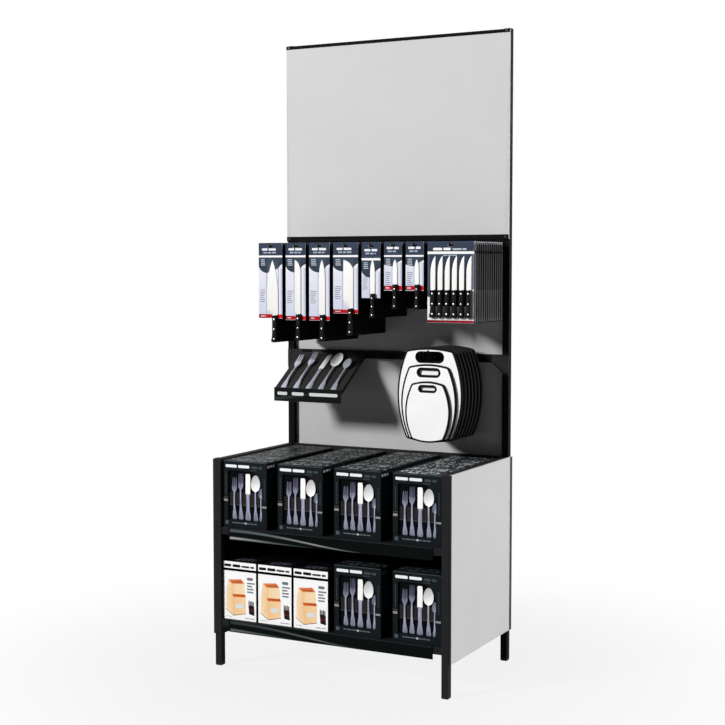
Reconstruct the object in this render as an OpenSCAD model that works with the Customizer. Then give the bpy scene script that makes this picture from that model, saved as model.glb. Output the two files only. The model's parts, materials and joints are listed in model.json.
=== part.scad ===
// Retail display rack: a square-tube steel frame with a two-shelf base, a back wall with
// hooks and a sample tray, a header panel, and the hanging and boxed goods it carries.
// Origin: middle of the footprint on the floor. X runs to the right, Y to the back, Z up.

/* [Frame] */
// Width over the square tubes
frame_w = 914; // [900:1:960]
// Depth over the square tubes
frame_d = 549; // [545:1:600]
// Height to the top of the upright end caps
rack_h = 2272; // [2240:1:2360]
// Height to the top of the front leg end caps
base_h = 750; // [748:1:780]
// Outside size of the square tube
tube = 25; // [22:1:28]
// Wall of the square tube
tube_wall = 1.5; // [1.2:0.1:2.2]
// Height of the pad of a foot glide
foot_h = 8; // [5:1:15]
// Thickness of a tube end cap above the tube
cap_h = 3; // [2:0.5:6]
// Depth of the crossbars, front to back
bar_d = 19; // [16:1:20]
// Height of the plain crossbars
bar_h = 25; // [20:1:28]
// Height of the middle crossbar
middle_bar_h = 29; // [25:1:34]
// Height of the underside of the middle crossbar above the floor
middle_bar_z = 1086; // [1075:1:1096]
// Height of the underside of the base side rails and of the lowest crossbar
low_rail_z = 115; // [100:1:120]

/* [Gussets] */
// Reach of a corner gusset along the crossbar from the inside of the upright
gusset_reach = 39; // [30:1:44]
// Drop of a corner gusset below the middle crossbar
gusset_drop = 39; // [32:1:50]
// Thickness of a corner gusset plate
gusset_t = 3; // [2:0.5:4]

/* [Header] */
// Height of the underside of the header above the floor
header_z = 1528; // [1524:1:1545]
// Height of the lower header channel
low_channel_h = 18; // [15:1:24]
// Height of the upper header channel
top_channel_h = 12; // [10:1:16]
// Sheet thickness of the header channels
channel_t = 1.5; // [1:0.1:2]
// Thickness of the header panel
header_panel_t = 5; // [3:0.5:6]

/* [Panels] */
// Thickness of the back panels
back_panel_t = 5; // [3:0.5:5]
// Thickness of the side panels
side_panel_t = 6; // [4:0.5:10]
// Distance of the side panel's top below the end caps
side_panel_drop = 3; // [3:0.5:8]
// Thickness of the side panel trims
trim_t = 1.5; // [1:0.1:2.5]
// Width of the front trims on the outer face
front_trim_w = 6; // [4:0.5:12]
// Width of the rear trims on the outer face
rear_trim_w = 18; // [12:1:25]

/* [Shelves] */
// Height of the lower shelf surface
low_shelf_z = 171; // [168:1:180]
// Height of the upper shelf surface
top_shelf_z = 503; // [500:1:505]
// Sheet thickness of a shelf
shelf_t = 1.5; // [1:0.1:2]
// Depth of a shelf's folded flanges
shelf_flange = 25; // [22:1:30]
// Height of a shelf sign
sign_h = 43; // [36:1:48]
// Gap between a shelf sign and the legs
sign_side_gap = 32; // [22:1:80]
// Thickness of a shelf sign
sign_t = 2.5; // [1.5:0.5:3]
// Setback of the shelf signs behind the front of the legs
sign_setback = 1; // [0:0.5:3]

/* [Hooks] */
// Height of the hook wires over the floor
hook_z = 1506; // [1500:1:1508]
// Height of the underside of the hook rail
hook_rail_z = 1493; // [1488:1:1495]
// Wire diameter of the knife hooks
wire_d = 5; // [4:0.5:5.5]
// Distance from the rail to the bend of the knife hooks
hook_reach = 272; // [268:1:280]
// Length of the upturned tip of a hook
hook_tip = 14; // [10:1:20]
// Rise of the upturned tip in degrees
tip_rise = 30; // [25:1:35]
// Width of a hook's back plate
plate_w = 32; // [28:1:36]
// Height of a hook's back plate
plate_h = 28; // [24:1:34]
// Thickness of a hook's back plate
plate_t = 2; // [1.5:0.5:3]
// Wire diameter of the board hook
board_wire_d = 8; // [6:0.5:9]
// Distance of the board hook from the right upright
board_inset = 190; // [180:1:210]

/* [Knife packs] */
// Room that the packs leave between the uprights, left and right together
pack_margin = 6; // [2:1:40]
// Place of the row of packs right of the rack's middle
pack_shift = 6; // [0:1:8]
// Height of a pack's top edge above the hook wire's middle
card_over_hook = 12; // [10:0.5:14]
// Thickness of a card
card_t = 1.2; // [0.8:0.1:1.6]
// Width of the hang slot in a card
slot_w = 22; // [16:1:26]
// Height of the hang slot in a card
slot_h = 9; // [8.5:0.1:10]
// Distance from the card's top to the blade tips
tip_drop = 62; // [55:1:70]
// Thickness of a knife blade
blade_t = 2; // [1.5:0.1:2.5]
// Thickness of a knife handle
handle_t = 13; // [10:0.5:15]
// Distance between packs on one hook
pack_pitch = 20; // [19:0.5:24]

/* [Cutting boards] */
// Width of the large board at its widest
board_w = 252; // [230:1:260]
// Height of the large board
board_h = 334; // [320:1:340]
// Thickness of a cutting board
board_t = 9; // [7:0.5:9]
// Distance between board sets on the hook
set_pitch = 30; // [28:0.5:32]
// Number of board sets, the front one included
set_count = 7; // [4:1:7]

/* [Sample tray] */
// Width of the sample tray
tray_w = 284; // [270:1:300]
// Height of the tray's front face
tray_front_h = 51; // [40:1:60]
// Height of the lowest edge of the tray above the floor
tray_z = 931; // [915:1:940]
// Distance from the crossbar's face to the front of the tray
tray_reach = 200; // [190:1:210]
// Sheet thickness of the tray
tray_t = 2; // [1.5:0.1:3]
// Distance of the tray from the left upright
tray_inset = 30; // [10:1:45]
// Distance between neighbouring samples
sample_pitch = 53; // [50:1:54]
// Thickness of the steel of a sample
sample_t = 2.4; // [1.8:0.1:3]
// Width of a sample's handle at its widest
handle_w = 22; // [18:0.5:24]
// Length of the salad fork
salad_fork_l = 186; // [170:1:195]
// Length of the dinner fork
dinner_fork_l = 205; // [190:1:210]
// Length of the table knife
table_knife_l = 214; // [200:1:218]
// Length of the table spoon
table_spoon_l = 203; // [190:1:210]
// Length of the tea spoon
tea_spoon_l = 170; // [150:1:180]
// Width of the table spoon's bowl
table_bowl_w = 43; // [36:1:46]
// Width of the tea spoon's bowl
tea_bowl_w = 31; // [26:1:36]

/* [Boxes] */
// Width of a flatware box
box_w = 179; // [160:1:180]
// Height of a flatware box
box_h = 240; // [220:1:240]
// Depth of a flatware box
box_d = 81; // [70:1:81]
// Gap between the block boxes and the flatware boxes beside them
block_side_gap = 24.7; // [10:0.1:30]
// Height of a knife block box
block_box_h = 210; // [190:1:230]
// Depth of a knife block box
block_box_d = 162; // [140:1:162]
// Gap between neighbouring block boxes
block_box_gap = 8; // [4:0.5:8]
// Gap between boxes that stand behind each other
box_gap = 1; // [0.5:0.5:2]
// Setback of the front boxes behind the front of the legs
box_setback = 12; // [10:1:16]

/* [Hidden] */
$fn = 32;

// Room around a shank in its hole, and the least gap between pieces that only rest together
hole_room = 0.4;
seat = 0.3;
// A cut runs this far past the faces it goes through
past = 1;

// Frame lines
front_y = -frame_d / 2;
back_y = frame_d / 2;
upright_y = back_y - tube;
half_w = frame_w / 2;
inner_half = half_w - tube;
post_x = half_w - tube / 2;
front_post_y = front_y + tube / 2;
rear_post_y = back_y - tube / 2;
upright_top = rack_h - cap_h;
leg_top = base_h - cap_h;
rail_top_z = leg_top - bar_h;
top_bar_z = upright_top - bar_h;
bar_back_y = upright_y + bar_d;
middle_bar_top = middle_bar_z + middle_bar_h;
header_bar_z = header_z;

// Fasteners
bolt_d = 5;
bolt_head_d = 9;
bolt_head_h = 3;
bolt_past = 3;
screw_d = 3.4;
screw_head_d = 7;
screw_head_h = 1;
screw_past = 4;
bolt_hole = bolt_d + 2 * hole_room;
screw_hole = screw_d + 2 * hole_room;

sign_w = 2 * (inner_half - sign_side_gap);

// Shelves run from the back of their signs to the back panel
shelf_y = front_y + sign_setback + sign_t;
shelf_d = bar_back_y - seat - shelf_y;

// Header
channel_d = header_panel_t + 2 * channel_t;
header_y = upright_y - channel_d;
header_top = upright_top;
low_bolt_z = header_z + low_channel_h / 2;
top_bolt_z = header_top - top_channel_h / 2;
header_bolts = [for (s = [-1, 1], z = [low_bolt_z, top_bolt_z]) [s * post_x, z]];

// Gusset bolts stand on the uprights, level with the crossbar and below it
gusset_bolt_inset = 11;
gusset_bolts = [for (s = [-1, 1],
    z = [middle_bar_top - gusset_bolt_inset, middle_bar_z - gusset_drop + gusset_bolt_inset])
    [s * post_x, z]];

// Shelf bolts go through the shelf flanges into the legs and uprights
shelf_bolt_drop = shelf_flange / 2 + 2;
shelf_bolts = [for (y = [front_post_y, rear_post_y], z = [low_shelf_z, top_shelf_z])
    [y, z - shelf_bolt_drop]];

// Side panel screws go out through the legs into the panels
side_screw_inset = 110;
side_screws = [for (y = [front_post_y, rear_post_y],
    z = [low_rail_z + side_screw_inset, leg_top - side_screw_inset]) [y, z]];

// Back panels meet on the middle of each crossbar, 1 mm apart
panel_seam = 1;
panel_screw_edge = 6;
back_screw_inset = 60;
seam_z = [low_rail_z + 1, leg_top - bar_h / 2, middle_bar_z + middle_bar_h / 2,
    header_bar_z + bar_h - 1];
back_screws = [for (i = [0:2], end = [0, 1], x = [-1, 0, 1])
    [x * (inner_half - back_screw_inset),
        end == 0 ? seam_z[i] + panel_screw_edge : seam_z[i + 1] - panel_screw_edge]];

// Packs, left to right: card width, card height, blade length, blade width, handle length,
// handle width, handle's place right of the card's middle, the blade's shape, and the blade's
// place left of the handle's middle
pack_table = [
    [100, 276, 201, 47, 101, 23, 21, "chef", 12],
    [83, 281, 196, 25, 98, 22, 15, "slicer", 6],
    [84, 281, 195, 27, 98, 22, 15.5, "carver", 4.5],
    [100, 254, 173, 41, 98, 22, 23, "santoku", 12],
    [74, 198, 121, 19, 86, 20, 9.5, "carver", 3],
    [69, 171, 92, 18, 82, 20, 11, "carver", 3],
    [69, 171, 92, 17, 82, 20, 12.5, "carver", 4],
    [174, 281, 119, 18, 93, 17, 3.5, "steak", 2]
];
steak = 7;
steak_knives = 6;
steak_pitch = 27;
steak_raise = 11;
function pack_w(i) = pack_table[i][0];
function pack_left(i) = i == 0
    ? pack_shift - (sum_w(steak) + steak * pack_gap) / 2
    : pack_left(i - 1) + pack_w(i - 1) + pack_gap;
function sum_w(i) = i < 0 ? 0 : pack_w(i) + sum_w(i - 1);
pack_gap = (2 * inner_half - pack_margin - sum_w(steak)) / steak;
function pack_x(i) = pack_left(i) + pack_w(i) / 2;

card_top = hook_z + card_over_hook;
hang_slot_top = hook_z + wire_d / 2 + seat;
bend_y = upright_y - hook_reach;
// What hangs at a bend stays this far behind it, clear of the wire that turns up
function bend_room(d) = d / 2 * tan(tip_rise / 2) + seat;
card_y = bend_y + bend_room(wire_d);
pack_count = floor((upright_y - plate_t - screw_head_h - card_y - card_t) / pack_pitch) + 1;
hook_xs = [for (i = [0:steak]) pack_x(i)];
plate_screw_x = plate_w / 2 - 6;
hook_screws = [for (x = hook_xs, s = [-1, 1]) [x + s * plate_screw_x, hook_rail_z + bar_h / 2]];

// Boards, large, medium and small, as shares of the large one: top width, width, height,
// slot width and slot height
board_shares = [[0.72, 1, 1, 1, 1], [0.61, 0.85, 0.83, 0.83, 0.84], [0.49, 0.69, 0.65, 0.65, 0.66]];
board_slot_w = 108;
board_slot_h = 38;
board_slot_drop = 14;
board_x = inner_half - board_inset;
board_hook_z = middle_bar_top + 12;
board_top = board_hook_z + board_wire_d / 2 + seat + board_slot_drop;
board_gap = seat;
set_d = 3 * board_t + 2 * board_gap;
board_bend_y = upright_y - plate_t - set_count * set_pitch;
board_set_y = board_bend_y + bend_room(board_wire_d) + board_t;
board_plate_h = board_hook_z + board_wire_d / 2 + 4 - middle_bar_z;
board_screws = [for (s = [-1, 1]) [board_x + s * plate_screw_x, middle_bar_z + middle_bar_h / 2]];

// Tray
tray_x = tray_inset + tray_w / 2 - inner_half;
tray_stand_off = 5;
tray_front_y = upright_y - tray_reach;
tray_back_y = upright_y - tray_stand_off;
tray_lip = 6;
lip_room = 5;
tray_cheek_h = 16;
tray_low_z = tray_z + tray_front_h - tray_lip;
tray_top_drop = 11;
tray_high_z = middle_bar_top - tray_top_drop;
tray_run = tray_back_y - tray_front_y - tray_t;
tray_slope = atan2(tray_high_z - tray_low_z, tray_run);
tray_flange_h = 20;
bracket_x = [-70, 70];
bracket_w = 40;
bracket_screws = [for (x = bracket_x, s = [-1, 1])
    [tray_x + x + s * (bracket_w / 2 - 8), middle_bar_z + middle_bar_h / 2]];

// Box lanes
lane_margin = 6;
lane_pitch = (2 * inner_half - 4 * box_w - 2 * lane_margin) / 3 + box_w;
function lane_x(i) = (i - 2.5) * lane_pitch;
box_front_y = front_y + box_setback;
box_rows = floor((upright_y - box_front_y + box_gap) / (box_d + box_gap));
block_rows = floor((upright_y - box_front_y + box_gap) / (block_box_d + box_gap));
block_margin = 3;
block_left = -inner_half + block_margin;
block_room = lane_x(3) - box_w / 2 - block_side_gap - block_left;
block_box_w = (block_room - 2 * block_box_gap) / 3;
window_recess = 1.5;
function block_x(i) = block_left + block_box_w / 2 + (i - 1) * (block_box_w + block_box_gap);

// Places children at a list of [x, z] points in the plane y, their Z axis turned to the back
module facing_back(points, y) {
    for (p = points) translate([p[0], y, p[1]]) rotate([-90, 0, 0]) children();
}

// Places children at a list of [y, z] points on both sides, their Z axis turned outwards
module facing_out(points, x) {
    for (s = [0, 1], p = points) mirror([s, 0, 0]) translate([x, p[0], p[1]])
        rotate([0, 90, 0]) children();
}

// A pan-head fastener: its head ends at z = 0 and its shank runs up from there
module fastener(shank_d, head_d, head_h, length) {
    cylinder(d = shank_d, h = length);
    translate([0, 0, -head_h]) cylinder(d1 = head_d * 0.7, d2 = head_d, h = head_h * 0.5);
    translate([0, 0, -head_h * 0.5]) cylinder(d = head_d, h = head_h * 0.5);
}

// A plain hole along Z, starting a little before z = 0
module hole(d, length) {
    translate([0, 0, -past]) cylinder(d = d, h = length + 2 * past);
}

// A rectangular tube along Z, its outside x by y, standing on z = 0
module tube_z(x, y, length) {
    linear_extrude(length) difference() {
        square([x, y], center = true);
        square([x - 2 * tube_wall, y - 2 * tube_wall], center = true);
    }
}

// A rectangular tube along X between the uprights, its lower front edge at y and z
module crossbar(y, z, depth, height) {
    translate([-inner_half, y + depth / 2, z + height / 2]) rotate([0, 90, 0])
        tube_z(height, depth, 2 * inner_half);
}

// Holes for every bolt and screw of the frame
module frame_holes() {
    facing_back(header_bolts, header_y) hole(bolt_hole, channel_d + tube_wall + bolt_past + 1);
    facing_back(gusset_bolts, upright_y - gusset_t) hole(bolt_hole, gusset_t + tube_wall + 1);
    facing_out(shelf_bolts, inner_half - shelf_t) hole(bolt_hole, shelf_t + tube_wall + 1);
    facing_out(side_screws, inner_half) hole(screw_hole, tube);
}

module post(x, y, top) {
    color("#262628") difference() {
        translate([x, y, foot_h]) tube_z(tube, tube, top - foot_h);
        frame_holes();
    }
}

module left_upright() { post(-post_x, rear_post_y, upright_top); }
module right_upright() { post(post_x, rear_post_y, upright_top); }
module left_front_leg() { post(-post_x, front_post_y, leg_top); }
module right_front_leg() { post(post_x, front_post_y, leg_top); }

// Chamfers of end caps and foot glides, their plugs' length in the tube and root in the pad
cap_chamfer = 1;
foot_chamfer = 2;
plug_l = 12;
plug_root = 0.5;

// A plug that fits in the end of a tube, from z = 0 up
module tube_plug(length) {
    inner = tube - 2 * tube_wall - 2 * seat;
    translate([-inner / 2, -inner / 2, 0]) cube([inner, inner, length]);
}

// A square pad with a chamfered upper edge, standing on z = 0
module chamfered_pad(height, chamfer) {
    translate([-tube / 2, -tube / 2, 0]) cube([tube, tube, height - chamfer]);
    translate([0, 0, height - chamfer]) linear_extrude(chamfer, scale = 1 - 2 * chamfer / tube)
        square(tube, center = true);
}

module tube_end_cap() {
    chamfered_pad(cap_h, cap_chamfer);
    translate([0, 0, -plug_l]) tube_plug(plug_l + plug_root);
}

// The header's upper bolts also go through the plugs of the uprights' caps
module tube_end_caps() {
    color("#1c1c1e") difference() {
        for (s = [-1, 1]) {
            translate([s * post_x, rear_post_y, upright_top]) tube_end_cap();
            translate([s * post_x, front_post_y, leg_top]) tube_end_cap();
        }
        frame_holes();
    }
}

module foot_glides() {
    color("#151516") for (s = [-1, 1], y = [front_post_y, rear_post_y])
        translate([s * post_x, y, foot_h]) {
            mirror([0, 0, 1]) chamfered_pad(foot_h, foot_chamfer);
            translate([0, 0, -plug_root]) tube_plug(plug_l + plug_root);
        }
}

module top_crossbar() {
    color("#262628") crossbar(upright_y, top_bar_z, bar_d, bar_h);
}

// Crossbar with the holes for the back panel screws that meet it
module screwed_crossbar(z, height) {
    color("#262628") difference() {
        crossbar(upright_y, z, bar_d, height);
        facing_front(back_screws, bar_back_y) hole(screw_hole, tube_wall + 1);
        facing_back(board_screws, upright_y) hole(screw_hole, tube_wall + 1);
        facing_back(bracket_screws, upright_y) hole(screw_hole, tube_wall + 1);
    }
}

// Places children at [x, z] points in the plane y, their Z axis turned to the front
module facing_front(points, y) {
    for (p = points) translate([p[0], y, p[1]]) rotate([90, 0, 0]) children();
}

module header_crossbar() { screwed_crossbar(header_bar_z, bar_h); }
module middle_crossbar() { screwed_crossbar(middle_bar_z, middle_bar_h); }

module base_crossbars() {
    screwed_crossbar(rail_top_z, bar_h);
    screwed_crossbar(low_rail_z, bar_h);
}

module hook_rail() {
    color("#262628") difference() {
        crossbar(upright_y, hook_rail_z, bar_d, bar_h);
        facing_back(hook_screws, upright_y) hole(screw_hole, tube_wall + 1);
    }
}

module side_rails() {
    color("#262628") for (s = [-1, 1], z = [low_rail_z, rail_top_z])
        translate([s * post_x, upright_y, z + bar_h / 2]) rotate([90, 0, 0])
            tube_z(tube, bar_h, frame_d - 2 * tube);
}

// Right-hand gusset outline: over the crossbar's end and down the upright
module gusset_outline() {
    polygon([
        [inner_half - gusset_reach, middle_bar_z], [inner_half - gusset_reach, middle_bar_top],
        [half_w, middle_bar_top], [half_w, middle_bar_z - gusset_drop],
        [inner_half + 2, middle_bar_z - gusset_drop]
    ]);
}

module corner_gussets() {
    color("#202022") difference() {
        for (s = [0, 1]) mirror([s, 0, 0]) translate([0, upright_y, 0]) rotate([90, 0, 0])
            linear_extrude(gusset_t) gusset_outline();
        frame_holes();
    }
}

module frame_bolts() {
    color("#0f0f10") {
        facing_back(header_bolts, header_y)
            fastener(bolt_d, bolt_head_d, bolt_head_h, channel_d + tube_wall + bolt_past);
        facing_back(gusset_bolts, upright_y - gusset_t)
            fastener(bolt_d, bolt_head_d, bolt_head_h, gusset_t + tube_wall + bolt_past);
        facing_out(shelf_bolts, inner_half - shelf_t)
            fastener(bolt_d, bolt_head_d, bolt_head_h, shelf_t + tube_wall + bolt_past);
    }
}

// A channel along X, open at the top, its lower front edge at y = 0 and z = 0
module channel(height) {
    translate([-half_w, 0, 0]) rotate([90, 0, 90]) linear_extrude(frame_w) difference() {
        square([channel_d, height]);
        translate([channel_t, channel_t]) square([header_panel_t, height]);
    }
}

module header_bottom_channel() {
    color("#1d1d1f") difference() {
        translate([0, header_y, header_z]) channel(low_channel_h);
        frame_holes();
    }
}

module header_top_channel() {
    color("#1d1d1f") difference() {
        translate([0, header_y, header_top]) mirror([0, 0, 1]) channel(top_channel_h);
        frame_holes();
    }
}

module header_panel() {
    color("#d3d3d3") difference() {
        translate([-half_w, header_y + channel_t, header_z + channel_t])
            cube([frame_w, header_panel_t, header_top - header_z - 2 * channel_t]);
        frame_holes();
    }
}

// Back panel number i, counted from the floor
module back_panel(i) {
    difference() {
        translate([-inner_half, bar_back_y, seam_z[i] + panel_seam / 2])
            cube([2 * inner_half, back_panel_t, seam_z[i + 1] - seam_z[i] - panel_seam]);
        facing_front(back_screws, bar_back_y + back_panel_t) hole(screw_hole, back_panel_t);
    }
}

module upper_back_panel() { color("#cfcfcf") back_panel(2); }
module lower_back_panel() { color("#b8b8b8") back_panel(1); }
module base_back_panel() { color("#2b2b2d") back_panel(0); }

module panel_screws() {
    color("#303032") {
        facing_front(back_screws, bar_back_y + back_panel_t)
            fastener(screw_d, screw_head_d, screw_head_h, back_panel_t + tube_wall + screw_past);
        facing_back(concat(hook_screws, board_screws), upright_y - plate_t)
            fastener(screw_d, screw_head_d, screw_head_h, plate_t + tube_wall + screw_past);
        facing_back(bracket_screws, upright_y - tray_t)
            fastener(screw_d, screw_head_d, screw_head_h, tray_t + tube_wall + screw_past);
        facing_out(side_screws, inner_half)
            fastener(screw_d, screw_head_d, screw_head_h, tube + side_panel_t - 2);
    }
}

side_panel_z = low_rail_z;
side_panel_top = base_h - side_panel_drop;
side_panel_h = side_panel_top - side_panel_z;
trim_edge = 1.5;

// Right-hand side panel, outside the legs and between the end trims
module side_panel() {
    color("#cbcbcb") difference() {
        translate([half_w, front_y + trim_edge + trim_t, side_panel_z])
            cube([side_panel_t, frame_d - 2 * (trim_edge + trim_t), side_panel_h]);
        facing_out(side_screws, half_w) hole(screw_hole, side_panel_t - 1 - past);
    }
}

module right_side_panel() { side_panel(); }
module left_side_panel() { mirror([1, 0, 0]) side_panel(); }

// An L-shaped trim that covers the panel's front edge and a strip of its outer face
module edge_trim(width) {
    translate([half_w, front_y + trim_edge, side_panel_z]) linear_extrude(side_panel_h) {
        square([side_panel_t + trim_t, trim_t]);
        translate([side_panel_t, 0]) square([trim_t, width]);
    }
}

module side_panel_trims() {
    color("#19191a") for (s = [0, 1]) mirror([s, 0, 0]) {
        edge_trim(front_trim_w);
        mirror([0, 1, 0]) edge_trim(rear_trim_w);
    }
}

// A folded shelf: a flat top with flanges down on all four sides
module shelf(z) {
    color("#1a1a1b") difference() {
        translate([-inner_half, shelf_y, z - shelf_flange])
            cube([2 * inner_half, shelf_d, shelf_flange]);
        translate([-inner_half + shelf_t, shelf_y + shelf_t, z - shelf_flange - past])
            cube([2 * (inner_half - shelf_t), shelf_d - 2 * shelf_t, shelf_flange + past - shelf_t]);
        frame_holes();
    }
}

module top_shelf() { shelf(top_shelf_z); }
module bottom_shelf() { shelf(low_shelf_z); }

// A sign strip on the front flange of a shelf, its top level with the shelf
module shelf_sign(z) {
    color("#0e0f10") translate([-sign_w / 2, front_y + sign_setback, z - sign_h])
        cube([sign_w, sign_t, sign_h]);
}

module top_shelf_sign() { shelf_sign(top_shelf_z); }
module bottom_shelf_sign() { shelf_sign(low_shelf_z); }

// Round wire from the back plate to the bend, then up along the tip
module hook_wire(d, reach) {
    rotate([90, 0, 0]) cylinder(d = d, h = reach);
    translate([0, -reach, 0]) {
        sphere(d = d);
        rotate([90 - tip_rise, 0, 0]) {
            cylinder(d = d, h = hook_tip);
            translate([0, 0, hook_tip]) sphere(d = d);
        }
    }
}

// Hook back plate in the plane of the crossbars' front, its lower edge at z
module hook_plate(x, z, height, screws) {
    difference() {
        translate([x - plate_w / 2, upright_y - plate_t, z]) cube([plate_w, plate_t, height]);
        facing_back(screws, upright_y - plate_t) hole(screw_hole, plate_t);
    }
}

module knife_hooks() {
    color("#1c1c1d") for (x = hook_xs) {
        hook_plate(x, hook_rail_z - (plate_h - bar_h) / 2, plate_h, hook_screws);
        translate([x, upright_y - plate_t / 2, hook_z]) hook_wire(wire_d, hook_reach - plate_t / 2);
    }
}

module board_hook() {
    color("#1c1c1d") {
        hook_plate(board_x, middle_bar_z, board_plate_h, board_screws);
        translate([board_x, upright_y - plate_t / 2, board_hook_z])
            hook_wire(board_wire_d, upright_y - plate_t / 2 - board_bend_y);
    }
}

// Side view of the tray in Y and Z: front face, sloped rest and rear flange
module tray_side() {
    translate([tray_front_y, tray_z]) square([tray_t, tray_front_h]);
    polygon([
        [tray_front_y + tray_t / 2, tray_low_z - tray_t / cos(tray_slope)],
        [tray_front_y + tray_t / 2, tray_low_z],
        [tray_back_y, tray_high_z],
        [tray_back_y, tray_high_z - tray_t / cos(tray_slope)]
    ]);
    translate([tray_back_y - tray_t, tray_high_z - tray_flange_h]) square([tray_t, tray_flange_h]);
}

// Side cheek of the tray: the strip under the sloped rest
module tray_cheek() {
    polygon([
        [tray_front_y + tray_t / 2, tray_low_z - tray_cheek_h],
        [tray_front_y + tray_t / 2, tray_low_z],
        [tray_back_y, tray_high_z], [tray_back_y, tray_high_z - tray_cheek_h]
    ]);
}

module along_x(x, width) {
    translate([x, 0, 0]) rotate([90, 0, 90]) linear_extrude(width) children();
}

module sample_tray() {
    color("#232325") {
        along_x(tray_x - tray_w / 2, tray_w) tray_side();
        along_x(tray_x - tray_w / 2, tray_t) tray_cheek();
        along_x(tray_x + tray_w / 2 - tray_t, tray_t) tray_cheek();
    }
}

// Z-shaped brackets that carry the tray's rear flange off the crossbar
module tray_brackets() {
    low = middle_bar_z;
    color("#202022") difference() {
        for (x = bracket_x) along_x(tray_x + x - bracket_w / 2, bracket_w) {
            translate([upright_y - tray_t, low]) square([tray_t, middle_bar_h - 4]);
            translate([tray_back_y, tray_high_z - tray_flange_h])
                square([upright_y - tray_back_y, tray_t]);
        }
        facing_back(bracket_screws, upright_y - tray_t) hole(screw_hole, tray_t);
    }
}

// Points of a quadratic curve from a to c, pulled towards b
function bend(a, b, c, n) = [for (i = [0:n]) let (t = i / n)
    (1 - t) * (1 - t) * a + 2 * t * (1 - t) * b + t * t * c];

// Blade outlines, bolster at y = 0 and tip at y = length, edge to the left and spine to the
// right, with n points to a curve
function blade_points(length, w, style, n) =
    let (h = w / 2, l = length)
    style == "chef" ? concat([[h, 0]], bend([h, l * 0.42], [h * 0.8, l * 0.8], [0, l], n),
        bend([0, l], [-h * 0.95, l * 0.72], [-h, l * 0.36], n), [[-h, l * 0.03], [0, 0]]) :
    style == "santoku" ? concat([[h, 0]], bend([h, l * 0.79], [h * 0.75, l * 0.94], [-h * 0.93, l], n),
        [[-h, l * 0.15], [-h * 0.6, l * 0.08], [0, 0]]) :
    style == "steak" ? concat([[h, 0]], bend([h, l], [-h * 0.9, l * 0.82], [-h, l * 0.5], n),
        [[-h, 0]]) :
    style == "slicer" ? concat([[h, 0]], bend([h, l * 0.72], [h, l * 0.95], [-h, l], n),
        [[-h, 0]]) :
    concat([[h, 0]], bend([h, l * 0.6], [h * 0.8, l * 0.9], [0, l], n),
        bend([0, l], [-h, l * 0.85], [-h, l * 0.5], n), [[-h, 0]]);

// Handle outline, bolster at y = 0 and butt at y = -length, with a hooked butt on the left
// and n points to a curve
function handle_points(length, w, n) =
    let (h = w / 2, l = length)
    concat([[-h * 0.8, 0]],
        bend([h * 0.8, 0], [h, -l * 0.2], [h * 0.85, -l * 0.5], n),
        bend([h * 0.85, -l * 0.5], [h * 0.8, -l * 0.8], [h, -l * 0.93], n),
        [[h * 0.8, -l], [-h, -l]],
        bend([-h * 1.25, -l * 0.94], [-h * 0.75, -l * 0.8], [-h * 0.8, -l * 0.5], n));

rivet_d = 5;
rivet_h = 0.8;

// A knife against a card's front plane at y = 0, its bolster at z = 0 and its blade's middle
// that far left of the handle's
module knife(blade_l, blade_w, handle_l, handle_w, style, left) {
    color("#f2f2ee") translate([-left, -seat, seat]) rotate([90, 0, 0]) linear_extrude(blade_t)
        polygon(blade_points(blade_l, blade_w, style, 7));
    color("#1a1a1a") translate([0, -seat, 0]) rotate([90, 0, 0]) linear_extrude(handle_t)
        polygon(handle_points(handle_l, handle_w, 4));
    color("#e6e6e6") for (i = [0:2]) translate([0, -seat - handle_t + 0.2, -handle_l * (0.14 + 0.35 * i)])
        rotate([90, 0, 0]) cylinder(d = rivet_d * handle_w / 22, h = rivet_h, $fn = 16);
}

// A hang card in the plane y = 0, from its hang slot down, and its front face at y = 0
module card(width, height) {
    corner = 3;
    rotate([90, 0, 0]) translate([0, 0, -card_t]) linear_extrude(card_t) difference() {
        translate([-width / 2, card_top - height]) square([width, height]);
        translate([-slot_w / 2 + slot_h / 2, hang_slot_top - slot_h]) square([slot_w - slot_h, slot_h]);
        for (s = [-1, 1]) translate([s * (slot_w - slot_h) / 2, hang_slot_top - slot_h / 2])
            circle(d = slot_h, $fn = 24);
        translate([-width / 2, card_top]) rotate(-45) square(corner, center = true);
        translate([width / 2, card_top]) rotate(-45) square(corner, center = true);
    }
}

// Place of each knife's bolster across and up a pack's card
function knife_xs(i) = i == steak
    ? [for (k = [0:steak_knives - 1]) pack_table[i][6] + (k - (steak_knives - 1) / 2) * steak_pitch]
    : [pack_table[i][6]];
function bolster_z(i) = card_top - tip_drop + (i == steak ? steak_raise : 0) - pack_table[i][2];

// A pack hanging at the bend of hook i
module front_pack(i) {
    p = pack_table[i];
    translate([pack_x(i), card_y, 0]) {
        color("#c9cbe2") card(p[0], p[1]);
        for (x = knife_xs(i)) translate([x, 0, bolster_z(i)])
            knife(p[2], p[3], p[4], p[5], p[7], p[8]);
    }
}

// The same pack further back on the hook, each as one solid
module stock_pack(i, row) {
    p = pack_table[i];
    translate([pack_x(i), card_y + row * pack_pitch, 0]) {
        card(p[0], p[1]);
        for (x = knife_xs(i)) translate([x, 0, bolster_z(i)]) rotate([90, 0, 0]) {
            translate([-p[8], 0, 0]) linear_extrude(blade_t)
                polygon(blade_points(p[2], p[3], p[7], 2));
            linear_extrude(handle_t) polygon(handle_points(p[4], p[5], 1));
        }
    }
}

module chef_knife_pack() { front_pack(0); }
module slicing_knife_pack() { front_pack(1); }
module carving_knife_pack() { front_pack(2); }
module santoku_knife_pack() { front_pack(3); }
module utility_knife_pack() { front_pack(4); }
module paring_knife_pack() { front_pack(5); }
module peeling_knife_pack() { front_pack(6); }
module steak_knife_pack() { front_pack(steak); }

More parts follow.
